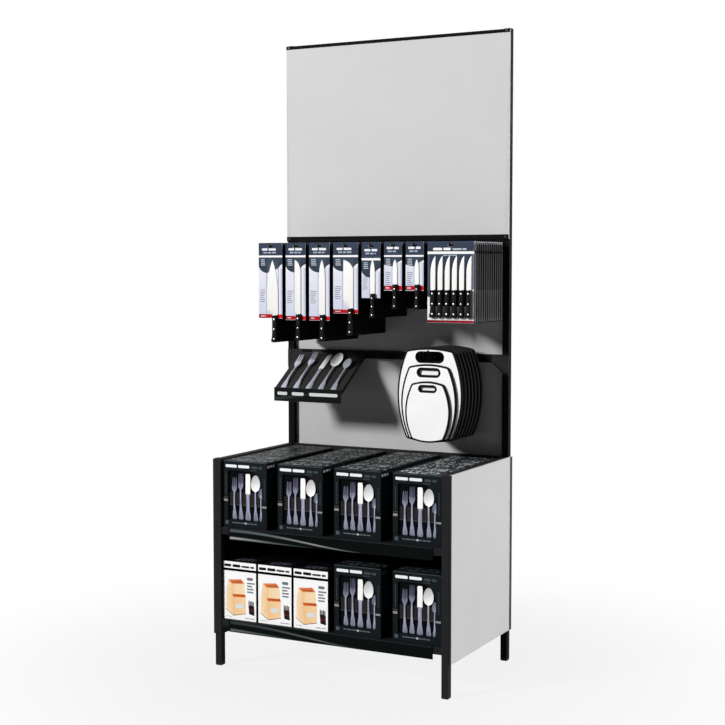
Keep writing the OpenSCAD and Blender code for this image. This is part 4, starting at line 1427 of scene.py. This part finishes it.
    def print_set(self, shape: Shape) -> None:
        """Print the six-knife card: header, stripe, dark field and plain bars.

        Args:
            shape: The shape that takes it.
        """
        w, h = self.width, self.height
        sheet = self.sheet(shape)
        self.ring_header(shape, 35, Ink("#333d50", SLATE, 2))
        sheet.bar(0, 35, w, 44, Ink("#ffffff"))
        sheet.words(w * 0.12, w * 0.5, 22.5, 31, Ink("#ffffff"), 8, 7.0)
        sheet.words(w * 0.54, w * 0.84, 24.5, 30.5, Ink("#c3cad8"), 9, 8.0)
        edge = w * 0.955
        sheet.bar(0, 44, w, 170, Ink("#50566a", "#6c6d84"))
        sheet.bar(w * 0.05, 44, edge, 168, Ink("#12141c", "#3a4558", 2), 2)
        sheet.bar(0, 170, w * 0.05, 192, Ink("#3a4250"), 2)
        sheet.bar(w * 0.05, 168, w * 0.93, 224, Ink("#0c0d11"), 2)
        sheet.bar(0, 192, w * 0.05, h - 9, Ink("#f2f4f4"), 2)
        sheet.bar(w * 0.05, 224, edge, h - 9, Ink("#dcdce2", "#f2f2f4", 2), 2)
        sheet.bar(edge, 166, w, h - 9, Ink("#f4f4f6"), 2)
        sheet.words(w * 0.34, w * 0.63, 47, 50.5, Ink("#aeb7c4"), 10, layer=3)
        sheet.bar(0, h - 9, w, h - 0.6, Ink("#6d0d12", "#a31318"), 2)

    def print_stock(self, shape: Shape) -> None:
        """Print what shows of a stock card at its right edge: top dot, stripe and side, paler than
        the
        dark card: partly its own pale print, and partly painted light on its top and right edges.

        Args:
            shape: The shape that takes it.
        """
        w, h = self.width, self.height
        sheet = self.sheet(shape)
        if self.set_of == 1:
            sheet.bar(w - 6, 1.0, w - 2.2, 4.0, Ink("#55565c"))
            sheet.bar(w - 1.2, 8, w - 0.2, h - 3, Ink("#1d1d20"))
            return
        sheet.bar(w - 7, 1.0, w - 2.2, 5.0, Ink("#c8c9ce"))
        sheet.bar(w - 9, self.art.stripe[0] - 2, w - 0.5, self.art.stripe[1] - 2, Ink("#5c5e68"))
        sheet.bar(w - 4.2, 8, w - 0.2, h * 0.6, Ink("#dcdce0"))
        sheet.bar(w - 4.8, h * 0.6, w - 0.2, h - 3, Ink("#ffffff"))


# Each pack's body, its middle, the card's width and height, the knife, how far the handle lies
# right of the card's middle, and the card's print.
HANG_PACKS = (
    HangPack("chef_knife", -373, 100, 276, Knife(Blade.CHEF, 201, 47, 101, 23, 12), 21,
             TALL_PRINT),
    HangPack("slicing_knife", -266.5, 83, 281, Knife(Blade.SLICER, 195.5, 25, 98, 22, 6), 15,
             LONG_PRINT),
    HangPack("carving_knife", -168, 84, 281, Knife(Blade.CARVER, 196.5, 27, 98, 22, 4.5), 15.5,
             LONG_PRINT),
    HangPack("santoku_knife", -61, 100, 254, Knife(Blade.SANTOKU, 172, 41, 99, 22, 12), 23,
             CardPrint(43, (46, 53), (86, 104), (76, 90), (240, 253))),
    HangPack("utility_knife", 41, 74, 198, Knife(Blade.CARVER, 119, 19, 88, 20, 3), 9.5,
             CardPrint(48, (57, 65), (104, 126), (92, 108), None)),
    HangPack("paring_knife", 127.5, 69, 171, Knife(Blade.CARVER, 86, 18, 88, 20, 3), 11,
             SHORT_PRINT),
    HangPack("peeling_knife", 211.5, 69, 171, Knife(Blade.CARVER, 86, 17, 88, 20, 4), 12.5,
             SHORT_PRINT),
    HangPack("steak_knife", 348, 174, 281, Knife(Blade.STEAK, 117, 18.4, 97, 22, 2, rivet_drop=14),
             3.5, CardPrint(35, (35, 44), (170, 190), (168, 176), None), 6, 27.0, 12.5))


# Cutting boards


@dataclass
class Boards:
    """Sets of three barrel-shaped cutting boards, nested level at the bottom."""

    x: float = 242.0
    bottom: float = 811.3
    back: float = 47.87
    width: float = 252.0
    height: float = 334.0
    thick: float = 9.0
    gap: float = 0.3
    slot: tuple[float, float, float] = (108.0, 38.0, 14.0)
    shares: tuple[tuple[float, ...], ...] = ((0.72, 1, 1, 1, 1), (0.61, 0.85, 0.83, 0.83, 0.84),
                                             (0.49, 0.69, 0.65, 0.65, 0.66))
    rim: float = 6.6
    linings: tuple[tuple[float, float], ...] = ((0.0, 1.8), (7.6, 9.0), (6.8, 8.2))
    sets: int = 7
    pitch: float = 30.0

    def build(self) -> None:
        """Build the set that lifts off and the row of sets behind it."""
        front, stock = Shape(), Shape()
        # The stock's boards have near-black cores and grey rims: painted shade and painted light.
        for shape, shift in ((front, 0.0), (stock, self.pitch)):
            for i in range(3):
                self.add_board(shape, i, self.back - i * (self.thick + self.gap) + shift,
                               *((SHADED_STOCK_HDPE, LIT_STOCK_RUBBER) if shift
                                 else (BOARD_HDPE, RIM_RUBBER)))
        front.piece("front_cutting_boards", "board_set", "cutting_boards", ["front_board_set"])
        stock.piece("stock_cutting_boards", "rack", "cutting_boards", ["board_set_stock"],
                    self.sets - 1, self.pitch)

    def outline(self, top_w: float, width: float, height: float) -> Outline:
        """Give a board's edge, counterclockwise, with its corners rounded off.

        Args:
            top_w: Its width at the top and the bottom.
            width: Its width at the middle.
            height: Its height.

        Returns:
            Its outline.
        """
        crown, t, w = self.height * 0.03, top_w / 2, width / 2
        pull = 2 * w - t
        sides = (((t, crown), (pull, height / 2), (t, height - crown)),
                 ((t, height - crown), (0, height + crown), (-t, height - crown)),
                 ((-t, height - crown), (-pull, height / 2), (-t, crown)),
                 ((-t, crown), (0, -crown), (t, crown)))
        runs = [curve(*side, 30) for side in sides]
        found: Outline = []
        for run, after in zip(runs, runs[1:] + runs[:1]):
            trimmed = run[1:-1]
            found += trimmed + curve(trimmed[-1], run[-1], after[1], 5)[1:-1]
        return [(self.x + x, self.bottom + z) for x, z in found]

    def add_board(self, shape: Shape, i: int, back: float, core: Finish, rubber: Finish) -> None:
        """Add one board: its core, its black rim and the black lining of its slot.

        Args:
            shape: The shape that takes it.
            i: Its number in the set, the largest being 0.
            back: The depth of its back.
            core: What its core is made of.
            rubber: What its rim is made of.
        """
        share = self.shares[i]
        height = self.height * share[2]
        edge = self.outline(self.width * share[0], self.width * share[1], height)
        slot_w, slot_h = self.slot[0] * share[3], self.slot[1] * share[4]
        top = self.bottom + height - self.slot[2]
        slot = rounded(self.x - slot_w / 2, top - slot_h, self.x + slot_w / 2, top, slot_h / 2, 8)
        front = back - self.thick
        within, wide = self.linings[i]
        shape.plate(inset(edge, self.rim - 0.6), front + 0.35, back - 0.35, core,
                    holes=[inset(slot, within - wide + 0.6)])
        self.add_rim(shape, edge, self.rim, front, back, rubber)
        self.add_rim(shape, inset(slot, within)[::-1], wide, front, back, rubber)

    def add_rim(self, shape: Shape, edge: Outline, rim: float, front: float, back: float,
                rubber: Finish) -> None:
        """Run a soft black rim of rounded section along an edge.

        Args:
            shape: The shape that takes it.
            edge: The edge.
            rim: The rim's width.
            front: The depth of its front.
            back: The depth of its back.
            rubber: What it is made of.
        """
        section = ((0.0, 0.28), (0.0, 0.72), (0.5, 0.93), (1.4, 1.0), (rim, 1.0), (rim, 0.0),
                   (1.4, 0.0), (0.5, 0.07))
        loops = {pull: inset(edge, pull) for pull in {pull for pull, _ in section}}
        rings = [[(loops[pull][i][0], front + (back - front) * share, loops[pull][i][1])
                  for pull, share in section] for i in range(len(edge))]
        shape.loft(rings, rubber, around=True)


# Flatware


class Head(Enum):
    """What a piece of flatware ends in."""

    FORK = "fork"
    KNIFE = "knife"
    SPOON = "spoon"


@dataclass(frozen=True)
class Steels:
    """The finishes of flatware and the tints that run along it."""

    body: Ground
    flare: str
    shank: str
    fork_head: str
    bowl: Ink
    small_bowl: str
    bright: Ground = WHITE_SHEEN_STEEL


LOOSE = Steels(FLATWARE_STEEL, "#e2e2e4", "#dcdcde", "#f0f0f3", Ink("#ffffff"), "#ffffff")
# In the cartons the flares, fork heads and tea spoon's bowl are tinted darker, and the big spoon's
# bowl darkens from its base to its tip: painted shade.
IN_CARTON_SHADE = Steels(CARTON_SHADE_STEEL, "#acacb0", "#e2e2e6", "#84828e", Ink("#ffffff", "#b4b4b4"),
                "#9a9aa0")


# Half widths in shares of half a handle's width, at shares of the length: for a table knife,
# for the other pieces up to the neck, and for a fork.
KNIFE_TAPER = ((0, 0.8), (0.012, 1.0), (0.05, 1.04), (0.26, 0.62), (0.54, 0.6), (0.57, 0.9),
               (0.6, 0.94), (1, 0.94))
NECK_TAPER = ((0, 0.8), (0.012, 0.95), (0.04, 1.0), (0.12, 0.84), (0.26, 0.46), (0.42, 0.31),
              (0.6, 0.29))
FORK_TAPER = (*NECK_TAPER, (0.64, 0.36), (0.7, 0.91), (0.75, 1.14), (1, 1.05))


@dataclass(frozen=True)
class Flatware:
    """A piece of flatware along X from its handle's end, with Y across it and Z up."""

    head: Head
    length: float
    tines: int = 4
    bowl_w: float = 45.0
    bowl_ratio: float = 1.62
    rise: float = 9.0
    handle_w: float = 22.0
    thick: float = 2.4

    def arch(self, t: float) -> float:
        """Give the height of the piece's back above the rest at a share of its length.

        Args:
            t: The share.

        Returns:
            The height.
        """
        rise = 3.0 if self.head is Head.KNIFE else self.rise
        return rise * math.sin(math.pi * t) * (1 if t < 0.62 else 1 - (t - 0.62) * 1.2)

    def reach(self, t: float) -> tuple[float, float]:
        """Give the piece's right and left edge at a share of its length.

        Args:
            t: The share.

        Returns:
            The two edges, on either side of 0.
        """
        half_w = self.handle_w / 2
        if self.head is Head.KNIFE:
            half = half_w * self.smooth(KNIFE_TAPER, t)
            droop, corner = max(t - 0.9, 0) / 0.1, max(t - 0.98, 0) / 0.02
            return -half + droop ** 2 * half_w * 0.3, half - corner * half_w * 0.3
        if self.head is Head.FORK:
            half = half_w * self.smooth(FORK_TAPER, t)
            return -half, half
        start = self.bowl_start()
        u = (t - start) / (1 - start)
        half = half_w * self.smooth(NECK_TAPER, t)
        if u > 0:
            angle = math.acos(max(-1.0, min(1.0, 1 - 2 * u)))
            half = max(half * max(1 - u * 8, 0), self.bowl_w / 2 * math.sin(angle)
                       * (1 + 0.12 * math.cos(angle)))
        return -half, half

    def bowl_start(self) -> float:
        """Give the share of the length at which a spoon's bowl starts."""
        return 1 - self.bowl_w * self.bowl_ratio / self.length

    @staticmethod
    def smooth(table: Sequence[tuple[float, float]], t: float) -> float:
        """Read a table of shares, easing between its rows.

        Args:
            table: Rows of a place and its value.
            t: The place to read at.

        Returns:
            The value.
        """
        for (a, x), (b, y) in zip(table, table[1:]):
            if t <= b:
                ease = (1 - math.cos(math.pi * (t - a) / (b - a))) / 2
                return x + (y - x) * ease
        return table[-1][1]

    def ring(self, t: float, low: float, high: float, crown: float, thick: float,
             lift: float = 0.0) -> list[Point]:
        """Give a section across the piece, domed by a positive crown and hollow by a negative.

        Args:
            t: Its place, as a share of the length.
            low: Its right edge.
            high: Its left edge.
            crown: How far it domes or hollows.
            thick: The steel's thickness.
            lift: How far it is raised.

        Returns:
            The section's points, over the top and back underneath.
        """
        shares = [-1 + i / 4 for i in range(9)]
        x, base = t * self.length, self.arch(t) + lift
        over = [(x, low + (high - low) * (s + 1) / 2,
                 base + thick - (crown * s * s if crown > 0 else -crown * (1 - s * s)))
                for s in shares]
        under = [(px, py, (pz - thick if crown < 0 else base + 0.3 * abs(s)))
                 for (px, py, pz), s in zip(over, shares)]
        return over + under[::-1]

    def tip_lift(self, t: float, kick: float) -> float:
        """Give how far the head has risen at a share of the length, for a raised tip."""
        return 0.0 if self.head is Head.KNIFE else kick * max(t - 0.62, 0.0) / 0.38

    def shape(self, steels: Steels, kick: float = 0.0) -> Shape:
        """Loft the piece in one run for each finish.

        Args:
            steels: The finishes along the piece.
            kick: How far a fork's or spoon's tip stands off what it lies on.

        Returns:
            The piece's shape, its handle's end at X 0.
        """
        made, rings, steps = Shape(), [], 44
        first, last = 0.001, 0.78 if self.head is Head.FORK else 0.997
        start = self.bowl_start()
        for i in range(steps + 1):
            t = first + (last - first) * (1 - math.cos(math.pi * i / steps)) / 2
            low, high = self.reach(t)
            thick = self.thick * (1 - 0.25 * t)
            crown, lift = thick * 0.55, self.tip_lift(t, kick)
            if self.head is Head.KNIFE and t > 0.56:
                thick, crown = self.thick * 0.55, 0.5
            if self.head is Head.SPOON and t > start:
                u = min((t - start) / (1 - start), 1.0)
                crown, thick = -4.6 * math.sin(math.pi * u) - 0.01, 1.3
                lift += 2.0 * math.sin(math.pi * u)
            rings.append(self.ring(t, low, high, crown, thick, lift))
        # The knife's blade and the big spoon's bowl take the bright steel, whose white is a painted
        # reflection.
        end = {Head.FORK: (0.6, steels.body, Ink(steels.shank, steels.fork_head)),
               Head.KNIFE: (0.58, steels.bright, Ink("#ffffff")),
               Head.SPOON: (start, steels.bright, steels.bowl)
               if self.bowl_w > 40 else (start, steels.body, Ink(steels.small_bowl))}[self.head]
        for low, high, finish, ink in ((0.0, 0.26, steels.body, Ink(steels.flare, steels.shank)),
                                       (0.26, end[0], steels.body, Ink(steels.shank)),
                                       (end[0], 1.0, end[1], end[2])):
            run = [i for i, ring in enumerate(rings) if low <= ring[0][0] / self.length < high]
            made.loft(rings[max(run[0] - 1, 0):run[-1] + 1], finish, ink)
        if self.head is Head.FORK:
            self.add_tines(made, steels, kick)
        return made

    def add_tines(self, made: Shape, steels: Steels, kick: float) -> None:
        """Loft each tine from the fork's root to a narrow tip.

        Args:
            made: The fork's shape.
            steels: Its finishes.
            kick: How far the tip stands off.
        """
        low, high = self.reach(0.78)
        pitch, steps = (high - low) / self.tines, 8
        for k in range(self.tines):
            middle = low + pitch * (k + 0.5)
            rings = []
            for i in range(steps + 1):
                t, drawn = 0.77 + 0.227 * i / steps, middle * (1 - 0.06 * i / steps)
                half = (pitch - 2.4) / 2 * (1.25 - 0.4 * min(i / 2, 1) - 0.45 * (i / steps) ** 3)
                rings.append(self.ring(t, drawn - half, drawn + half, 0.5,
                                       self.thick * (0.8 - 0.25 * i / steps),
                                       self.tip_lift(t, kick)))
            made.loft(rings, steels.body, Ink(steels.fork_head))


PLACE_SETTING = (
    ("salad_fork", Flatware(Head.FORK, 186, 3)), ("dinner_fork", Flatware(Head.FORK, 205, 4)),
    ("table_knife", Flatware(Head.KNIFE, 214)), ("table_spoon", Flatware(Head.SPOON, 203)),
    ("tea_spoon", Flatware(Head.SPOON, 170, bowl_w=31)))


@dataclass
class TraySamples:
    """The five loose samples that lie on the sloped tray."""

    first_x: float = -366.0
    pitch: float = 53.0
    slope: float = 33.55
    lip: tuple[float, float] = (50.5, 976.0)
    butt_gap: float = 5.0
    kick: float = 18.0

    def build(self) -> None:
        """Lay each sample on the slope, its handle's end by the lip."""
        for k, (name, piece) in enumerate(PLACE_SETTING):
            laid = (Matrix.Translation((self.first_x + k * self.pitch, *self.lip))
                    @ Matrix.Rotation(math.radians(self.slope), 4, "X")
                    @ Matrix.Translation((0, self.butt_gap, SEAT))
                    @ Matrix.Rotation(math.radians(90), 4, "Z"))
            shape = Shape()
            shape.take(piece.shape(LOOSE, self.kick), laid)
            shape.piece(f"{name}_on_tray", name, "flatware_steel", [f"{name}_sample"])


# Cartons


# The front cartons' faces, the two shelves' heights and the middles of their four lanes.
BOX_FRONT = -262.5
TOP_SHELF = 503.0
LOW_SHELF = 171.0
LANES = (-336.5, -112.17, 112.17, 336.5)


def close_top(shape: Shape, sides: tuple[float, float], ends: tuple[float, float], top: float,
              ink: Ink) -> Sheet:
    """Close a carton with its tuck flap.

    Args:
        shape: The shape that takes it.
        sides: The carton's left and right side.
        ends: The depths of its front and back.
        top: Its top.
        ink: The flap's tint.

    Returns:
        The flap's face, for print.
    """
    flap = rounded(sides[0] + 0.5, ends[0] + 0.1, sides[1] - 0.5, ends[1] - 1.0, 0.8, 2)
    shape.plate(flap, top - 0.5, top - 0.1, CARTON_PRINT, ink, facing=Facing.TOP)
    return Sheet(shape, sides[0], ends[1], top - 0.1, CARTON_PRINT, Facing.TOP)


@dataclass
class FlatwareCarton:
    """A flatware carton with a recessed window, or a closed one for the stock behind it."""

    width: float = 179.0
    depth: float = 81.0
    height: float = 240.0
    gap: float = 1.0
    rows: int = 6
    window: tuple[float, float, float, float] = (0.105, 0.145, 0.885, 0.88)
    recess: float = 7.0
    board_t: float = 1.2
    # How bright the tops' marks are, as painted light and shade: a share for each upper lane, one
    # for the lower shelf, and the fall for each row further back.
    lane_painted_light: tuple[float, ...] = (0.64, 0.74, 0.78, 1.0)
    low_shelf_painted_shade: float = 0.3
    fade: float = 0.94
    places: tuple[tuple[float, ...], ...] = (
        (0.24, 0.248, 0.874, 1.04), (0.388, 0.182, 0.874, 1.06), (0.55, 0.184, 0.878, 1.2),
        (0.73, 0.198, 0.88, 1.02), (0.858, 0.39, 0.882, 0.94))
    flatten: float = 0.42

    def build(self) -> None:
        """Build the front cartons and the rows of stock."""
        fronts = [(f"top_flatware_box_{i + 1}", LANES[i], TOP_SHELF) for i in range(4)]
        fronts += [(f"bottom_flatware_box_{i + 1}", LANES[i + 2], LOW_SHELF) for i in range(2)]
        for name, x, z in fronts:
            shape = Shape()
            self.add_front(shape, x, z)
            self.add_top(shape, x, z, 0)
            # The lower shelf's side marks are fainter: painted shade.
            self.add_side(shape, x, z, BOX_FRONT, 1.0 if z == TOP_SHELF else 0.4)
            shape.piece(f"{name}_carton", name, "flatware_cartons", [name])
        for name, x, z in fronts:
            shape = Shape()
            for row in range(1, self.rows):
                front = BOX_FRONT + (self.depth + self.gap) * row
                shape.block((x - self.width / 2, front, z),
                            (x + self.width / 2, front + self.depth, z + self.height - 0.5), 0.7,
                            CARTON_PRINT, Ink("#0b0e10"))
                self.add_top(shape, x, z, row)
                self.add_side(shape, x, z, front, 0.3)
            shape.piece(f"{name}_stock_row", "rack", "flatware_cartons", ["flatware_box_stock"])

    def add_front(self, shape: Shape, x: float, z: float) -> None:
        """Build the carton round its window, with the flatware inside it.

        Args:
            shape: The shape that takes it.
            x: The carton's middle.
            z: The shelf's height.
        """
        w, h = self.width, self.height
        left, top = x - w / 2, z + h
        ink = Ink("#0d1114")
        shape.block((left, BOX_FRONT + self.recess, z), (x + w / 2, BOX_FRONT + self.depth,
                    z + h - 0.5), 0.4, CARTON_PRINT, ink)
        x0, y0, x1, y1 = self.window
        hole = [(left + w * a, top - h * b) for a, b in (
            [(x0, y1), (x1 - 0.02, y1)] + curve((x1, y1 - 0.02), (x1 + 0.01, 0.6), (x1, 0.36), 6)
            + curve((x1 - 0.01, 0.33), (x1 - 0.07, y0 + 0.02), (0.64, y0), 10)
            + [(x0 + 0.02, y0), (x0, y0 + 0.02)])]
        edge = rounded(left, z, x + w / 2, z + h - 0.5, 0.5, 2)
        cavity = rounded(left + 4, z + 4, x + w / 2 - 4, z + h - 4.5, 1.0, 2)
        shape.plate(edge, BOX_FRONT, BOX_FRONT + self.board_t, CARTON_PRINT,
                    Ink("#0e1418", "#12181c", 2), [hole])
        shape.plate(edge, BOX_FRONT + self.board_t - 0.3, BOX_FRONT + self.recess, CARTON_PRINT,
                    ink, [cavity])
        floor = BOX_FRONT + self.recess
        shape.plate(inset(cavity, -0.5), floor - 0.4, floor - 0.1, WINDOW_FLOCK)
        # A brown band behind the necks, with a paler line along its lower edge: painted shadow
        # between the necks of the flatware.
        for tint, high, low in (("#262322", 0.47, 0.655), ("#4c443e", 0.655, 0.665)):
            shape.plate([(left + w * a, top - h * b) for a, b in (
                (0.08, low), (0.08, high), (0.92, high), (0.92, low))], floor - 0.45, floor - 0.35,
                CARTON_PRINT, Ink(tint))
        self.print_front(Sheet(shape, left, top, BOX_FRONT, CARTON_PRINT))
        self.add_setting(shape, left, top)

    def add_setting(self, shape: Shape, left: float, top: float) -> None:
        """Stand the five pieces of a place setting in the window.

        Args:
            shape: The shape that takes it.
            left: The carton's left side.
            top: Its top.
        """
        for (_, piece), (share, y0, y1, wide) in zip(PLACE_SETTING, self.places):
            size = self.height * (y1 - y0) / piece.length
            turn = Matrix(((0, -size * wide, 0, left + self.width * share),
                           (0, 0, -self.flatten, BOX_FRONT + self.recess - 0.6),
                           (size, 0, 0, top - self.height * y1), (0, 0, 0, 1)))
            # The pieces in a carton take the darker, bluer steel and tints: painted shade.
            shape.take(piece.shape(IN_CARTON_SHADE), turn)

    def print_front(self, sheet: Sheet) -> None:
        """Print plain bars and small marks round the window.

        Args:
            sheet: The carton's front.
        """
        size = self.width, self.height
        sheet.bar(1.5, 1.2, self.width - 1.5, 2.8, Ink("#4c585b"))
        sheet.texts(size, ((0.05, 0.6, 0.058, 0.1, "#f4f6f6", 11, 6.6),
                           (0.65, 0.9, 0.065, 0.1, "#3d474b", 12, 4.0),
                           (0.62, 0.78, 0.12, 0.132, "#39454a", 13, 6.0),
                           (0.2, 0.78, 0.915, 0.93, "#5f6b70", 14, 6.0)))
        sheet.bars(size, ((0.49, 0.91, 0.53, 0.935, "#b9c3c6", 3),
                          (0.005, 0.545, 0.098, 0.556, "#4a4f4c", 1),
                          (0.005, 0.575, 0.098, 0.61, "#8c908a", 1),
                          (0.888, 0.645, 0.99, 0.672, "#8e9292", 1),
                          (0.04, 0.9, 0.11, 0.95, "#4d585c", 1)))
        for row in range(9):
            down = 0.036 * row
            sheet.bars(size, ((0.045, 0.2 + down, 0.065, 0.222 + down, "#3c474c", 1),
                              (0.935, 0.24 + down, 0.955, 0.262 + down, "#3c474c", 1)))

    def add_top(self, shape: Shape, x: float, z: float, row: int) -> None:
        """Close the top with its tuck flap and print rows of marks, toned by painted light and
        shade:
        brighter towards the right-hand lanes, fainter on the lower shelf and further back.

        Args:
            shape: The shape that takes it.
            x: The carton's middle.
            z: The shelf's height.
            row: How many cartons stand before it.
        """
        w, d = self.width, self.depth
        front = BOX_FRONT + (d + self.gap) * row
        sheet = close_top(shape, (x - w / 2, x + w / 2), (front, front + d), z + self.height,
                          Ink("#0a0d0e", "#0d1112", 1))
        # Painted light by lane, and painted shade by shelf and row, set how bright the marks are.
        lit = self.lane_painted_light[LANES.index(x)] if z == TOP_SHELF else self.low_shelf_painted_shade
        shades = [between("#0b0e0f", tint, lit * self.fade ** row)
                  for tint in ("#465257", "#94a2a6", "#e6f2f4", "#ffffff")]
        sheet.specks((w * 0.03, 2, w * 0.99, d - 2), (11.0, 22.5), shades, 20 + row)

    def add_side(self, shape: Shape, x: float, z: float, front: float, share: float) -> None:
        """Print a short row of pale marks high on the right side, near the front.

        Args:
            shape: The shape that takes it.
            x: The carton's middle.
            z: The shelf's height.
            front: The depth of its front.
            share: How far the marks stand out: less on the lower shelf and the stock, as painted
                shade.
        """
        sheet = Sheet(shape, front, z + self.height, x + self.width / 2, CARTON_PRINT, Facing.SIDE)
        sheet.words(6, 56, 12, 21, Ink(between("#0d1114", "#e8ecec", share)), 31, 3.4, 1)
        sheet.lines(8, 60, 40, 9, 14, 2.4, Ink("#343c40"), 32, 1)


@dataclass
class BlockCarton:
    """A carton for a wooden knife block, with a plain picture of one on its front."""

    width: float = 136.99
    depth: float = 162.0
    height: float = 210.0
    gap: float = 1.0
    rows: int = 3
    lefts: tuple[float, ...] = (-429.0, -284.01, -139.02)

    def build(self) -> None:
        """Build the front cartons and the stock behind them."""
        for i, left in enumerate(self.lefts):
            name = f"knife_block_box_{i + 1}"
            front = Shape()
            self.add_carton(front, left, BOX_FRONT)
            self.print_front(Sheet(front, left, LOW_SHELF + self.height, BOX_FRONT, CARTON_PRINT))
            front.piece(f"{name}_carton", name, "block_cartons", [name])
            stock = Shape()
            self.add_carton(stock, left, BOX_FRONT + self.depth + self.gap)
            stock.piece(f"{name}_stock_row", "rack", "block_cartons", ["knife_block_box_stock"],
                        self.rows - 1, self.depth + self.gap)

    def add_carton(self, shape: Shape, left: float, front: float) -> None:
        """Add the carton, its tuck flap and the fine marks on its top.

        Args:
            shape: The shape that takes it.
            left: Its left side.
            front: The depth of its front.
        """
        w, d, top = self.width, self.depth, LOW_SHELF + self.height
        shape.block((left, front, LOW_SHELF + SEAT), (left + w, front + d, top - 0.5), 0.7,
                    CARTON_PRINT, Ink("#0d0d10"))
        sheet = close_top(shape, (left, left + w), (front, front + d), top,
                          Ink("#0a0a0e", "#0d0d12", 1))
        sheet.specks((w * 0.16, d - 62, w * 0.84, d - 20), (9.0, 20.0), ("#4b4957", "#7a7788"), 40)

    def print_front(self, sheet: Sheet) -> None:
        """Print the white front: plain marks, a rule, a block picture and grey lines.

        Args:
            sheet: The carton's front.
        """
        w, h = self.width, self.height
        sheet.bar(0.6, 0.6, w - 0.6, h - 0.6, Ink("#ffffff"))
        sheet.words(w * 0.03, w * 0.52, h * 0.047, h * 0.094, Ink("#121115"), 51, 5.0)
        sheet.words(w * 0.55, w * 0.94, h * 0.058, h * 0.09, Ink("#2e2d32"), 52, 5.0)
        sheet.bar(0.6, h * 0.12, w - 0.6, h * 0.162, Ink("#100f13"))
        self.block_picture(sheet)
        sheet.words(w * 0.72, w * 0.94, h * 0.25, h * 0.3, Ink("#75787f"), 53, 3.0)
        sheet.lines(w * 0.72, w * 0.96, h * 0.335, h * 0.05, 4, h * 0.027, Ink("#7e828a"), 54)
        self.stub_picture(sheet)
        sheet.words(w * 0.08, w * 0.28, h * 0.945, h * 0.957, Ink("#b4b7bd"), 55)
        sheet.words(w * 0.66, w * 0.95, h * 0.945, h * 0.96, Ink("#9a9da4"), 56)

    def block_picture(self, sheet: Sheet) -> None:
        """Print a wooden block with two steps, seen from its corner, with dark knife slots.

        Args:
            sheet: The carton's front.
        """
        w, h = self.width, self.height

        def lay(ink: Ink, layer: int, *shares: tuple[float, float]) -> None:
            """Print one face of the picture, given in shares of the front."""
            sheet.patch([(w * x, h * y) for x, y in shares], ink, layer)

        lay(Ink("#ffe7c6", "#f9d3a2"), 2, (0.14, 0.32), (0.255, 0.385), (0.285, 0.6), (0.3, 0.924),
            (0.075, 0.824), (0.08, 0.56))
        lay(Ink("#f7cf9c", "#fde0b4"), 2, (0.255, 0.383), (0.64, 0.36), (0.66, 0.57),
            (0.28, 0.6))
        lay(Ink("#f8c892", "#fbd7aa"), 2, (0.28, 0.595), (0.68, 0.585), (0.68, 0.875), (0.3, 0.924))
        lay(Ink("#ef9a62", "#d65f2c"), 3, (0.138, 0.318), (0.543, 0.293), (0.64, 0.36),
            (0.255, 0.385))
        lay(Ink("#dd7438", "#c4501c"), 3, (0.255, 0.56), (0.655, 0.548), (0.685, 0.592),
            (0.3, 0.61))
        for i in range(5):
            x = 0.235 + 0.062 * i
            lay(Ink("#8a3413"), 4, (x, 0.335), (x + 0.03, 0.333), (x + 0.062, 0.365),
                (x + 0.034, 0.367))
        for i in range(4):
            x = 0.33 + 0.08 * i
            lay(Ink("#9c3f15"), 4, (x, 0.572), (x + 0.045, 0.57), (x + 0.05, 0.582),
                (x + 0.005, 0.584))
        for x, top, low in ((0.12, 0.42, 0.79), (0.175, 0.44, 0.82), (0.225, 0.46, 0.85)):
            lay(Ink("#f3c48c"), 3, (x, top), (x + 0.012, top), (x + 0.016, low), (x + 0.004, low))
        for x in (0.36, 0.43, 0.5, 0.57):
            lay(Ink("#fff0d6"), 3, (x, 0.4), (x + 0.018, 0.4), (x + 0.018, 0.54), (x, 0.54))
        lay(Ink("#7a5c3e"), 3, (0.075, 0.822), (0.3, 0.921), (0.68, 0.872), (0.68, 0.882),
            (0.3, 0.934), (0.075, 0.834))
        lay(Ink("#dfe6ea"), 3, (0.38, 0.725), (0.6, 0.715), (0.6, 0.785), (0.38, 0.8))

    def stub_picture(self, sheet: Sheet) -> None:
        """Print a small dark picture of handles standing in a block, as plain shapes.

        Args:
            sheet: The carton's front.
        """
        w, h = self.width, self.height
        sheet.patch([(w * x, h * y) for x, y in ((0.78, 0.875), (0.765, 0.74), (0.85, 0.72),
                                                 (0.935, 0.74), (0.945, 0.895))],
                    Ink("#181216", "#3c1a18", 2), 2)
        for i in range(4):
            x = 0.765 + 0.043 * i
            sheet.bar(w * x, h * (0.645 + 0.014 * (i % 2)), w * (x + 0.032), h * 0.76,
                      Ink("#0e0d12"), 3)
        sheet.bar(w * 0.8, h * 0.8, w * 0.92, h * 0.82, Ink("#5c1f1c"), 3)


def main() -> None:
    """Build the studio, dress the rack and stock it."""
    logging.basicConfig(level=logging.INFO, format="%(name)s: %(message)s")
    Studio().build()
    Rack().build()
    for pack in HANG_PACKS:
        pack.build()
    Boards().build()
    TraySamples().build()
    FlatwareCarton().build()
    BlockCarton().build()
    bpy.context.view_layer.update()


if __name__ == "__main__":
    main()
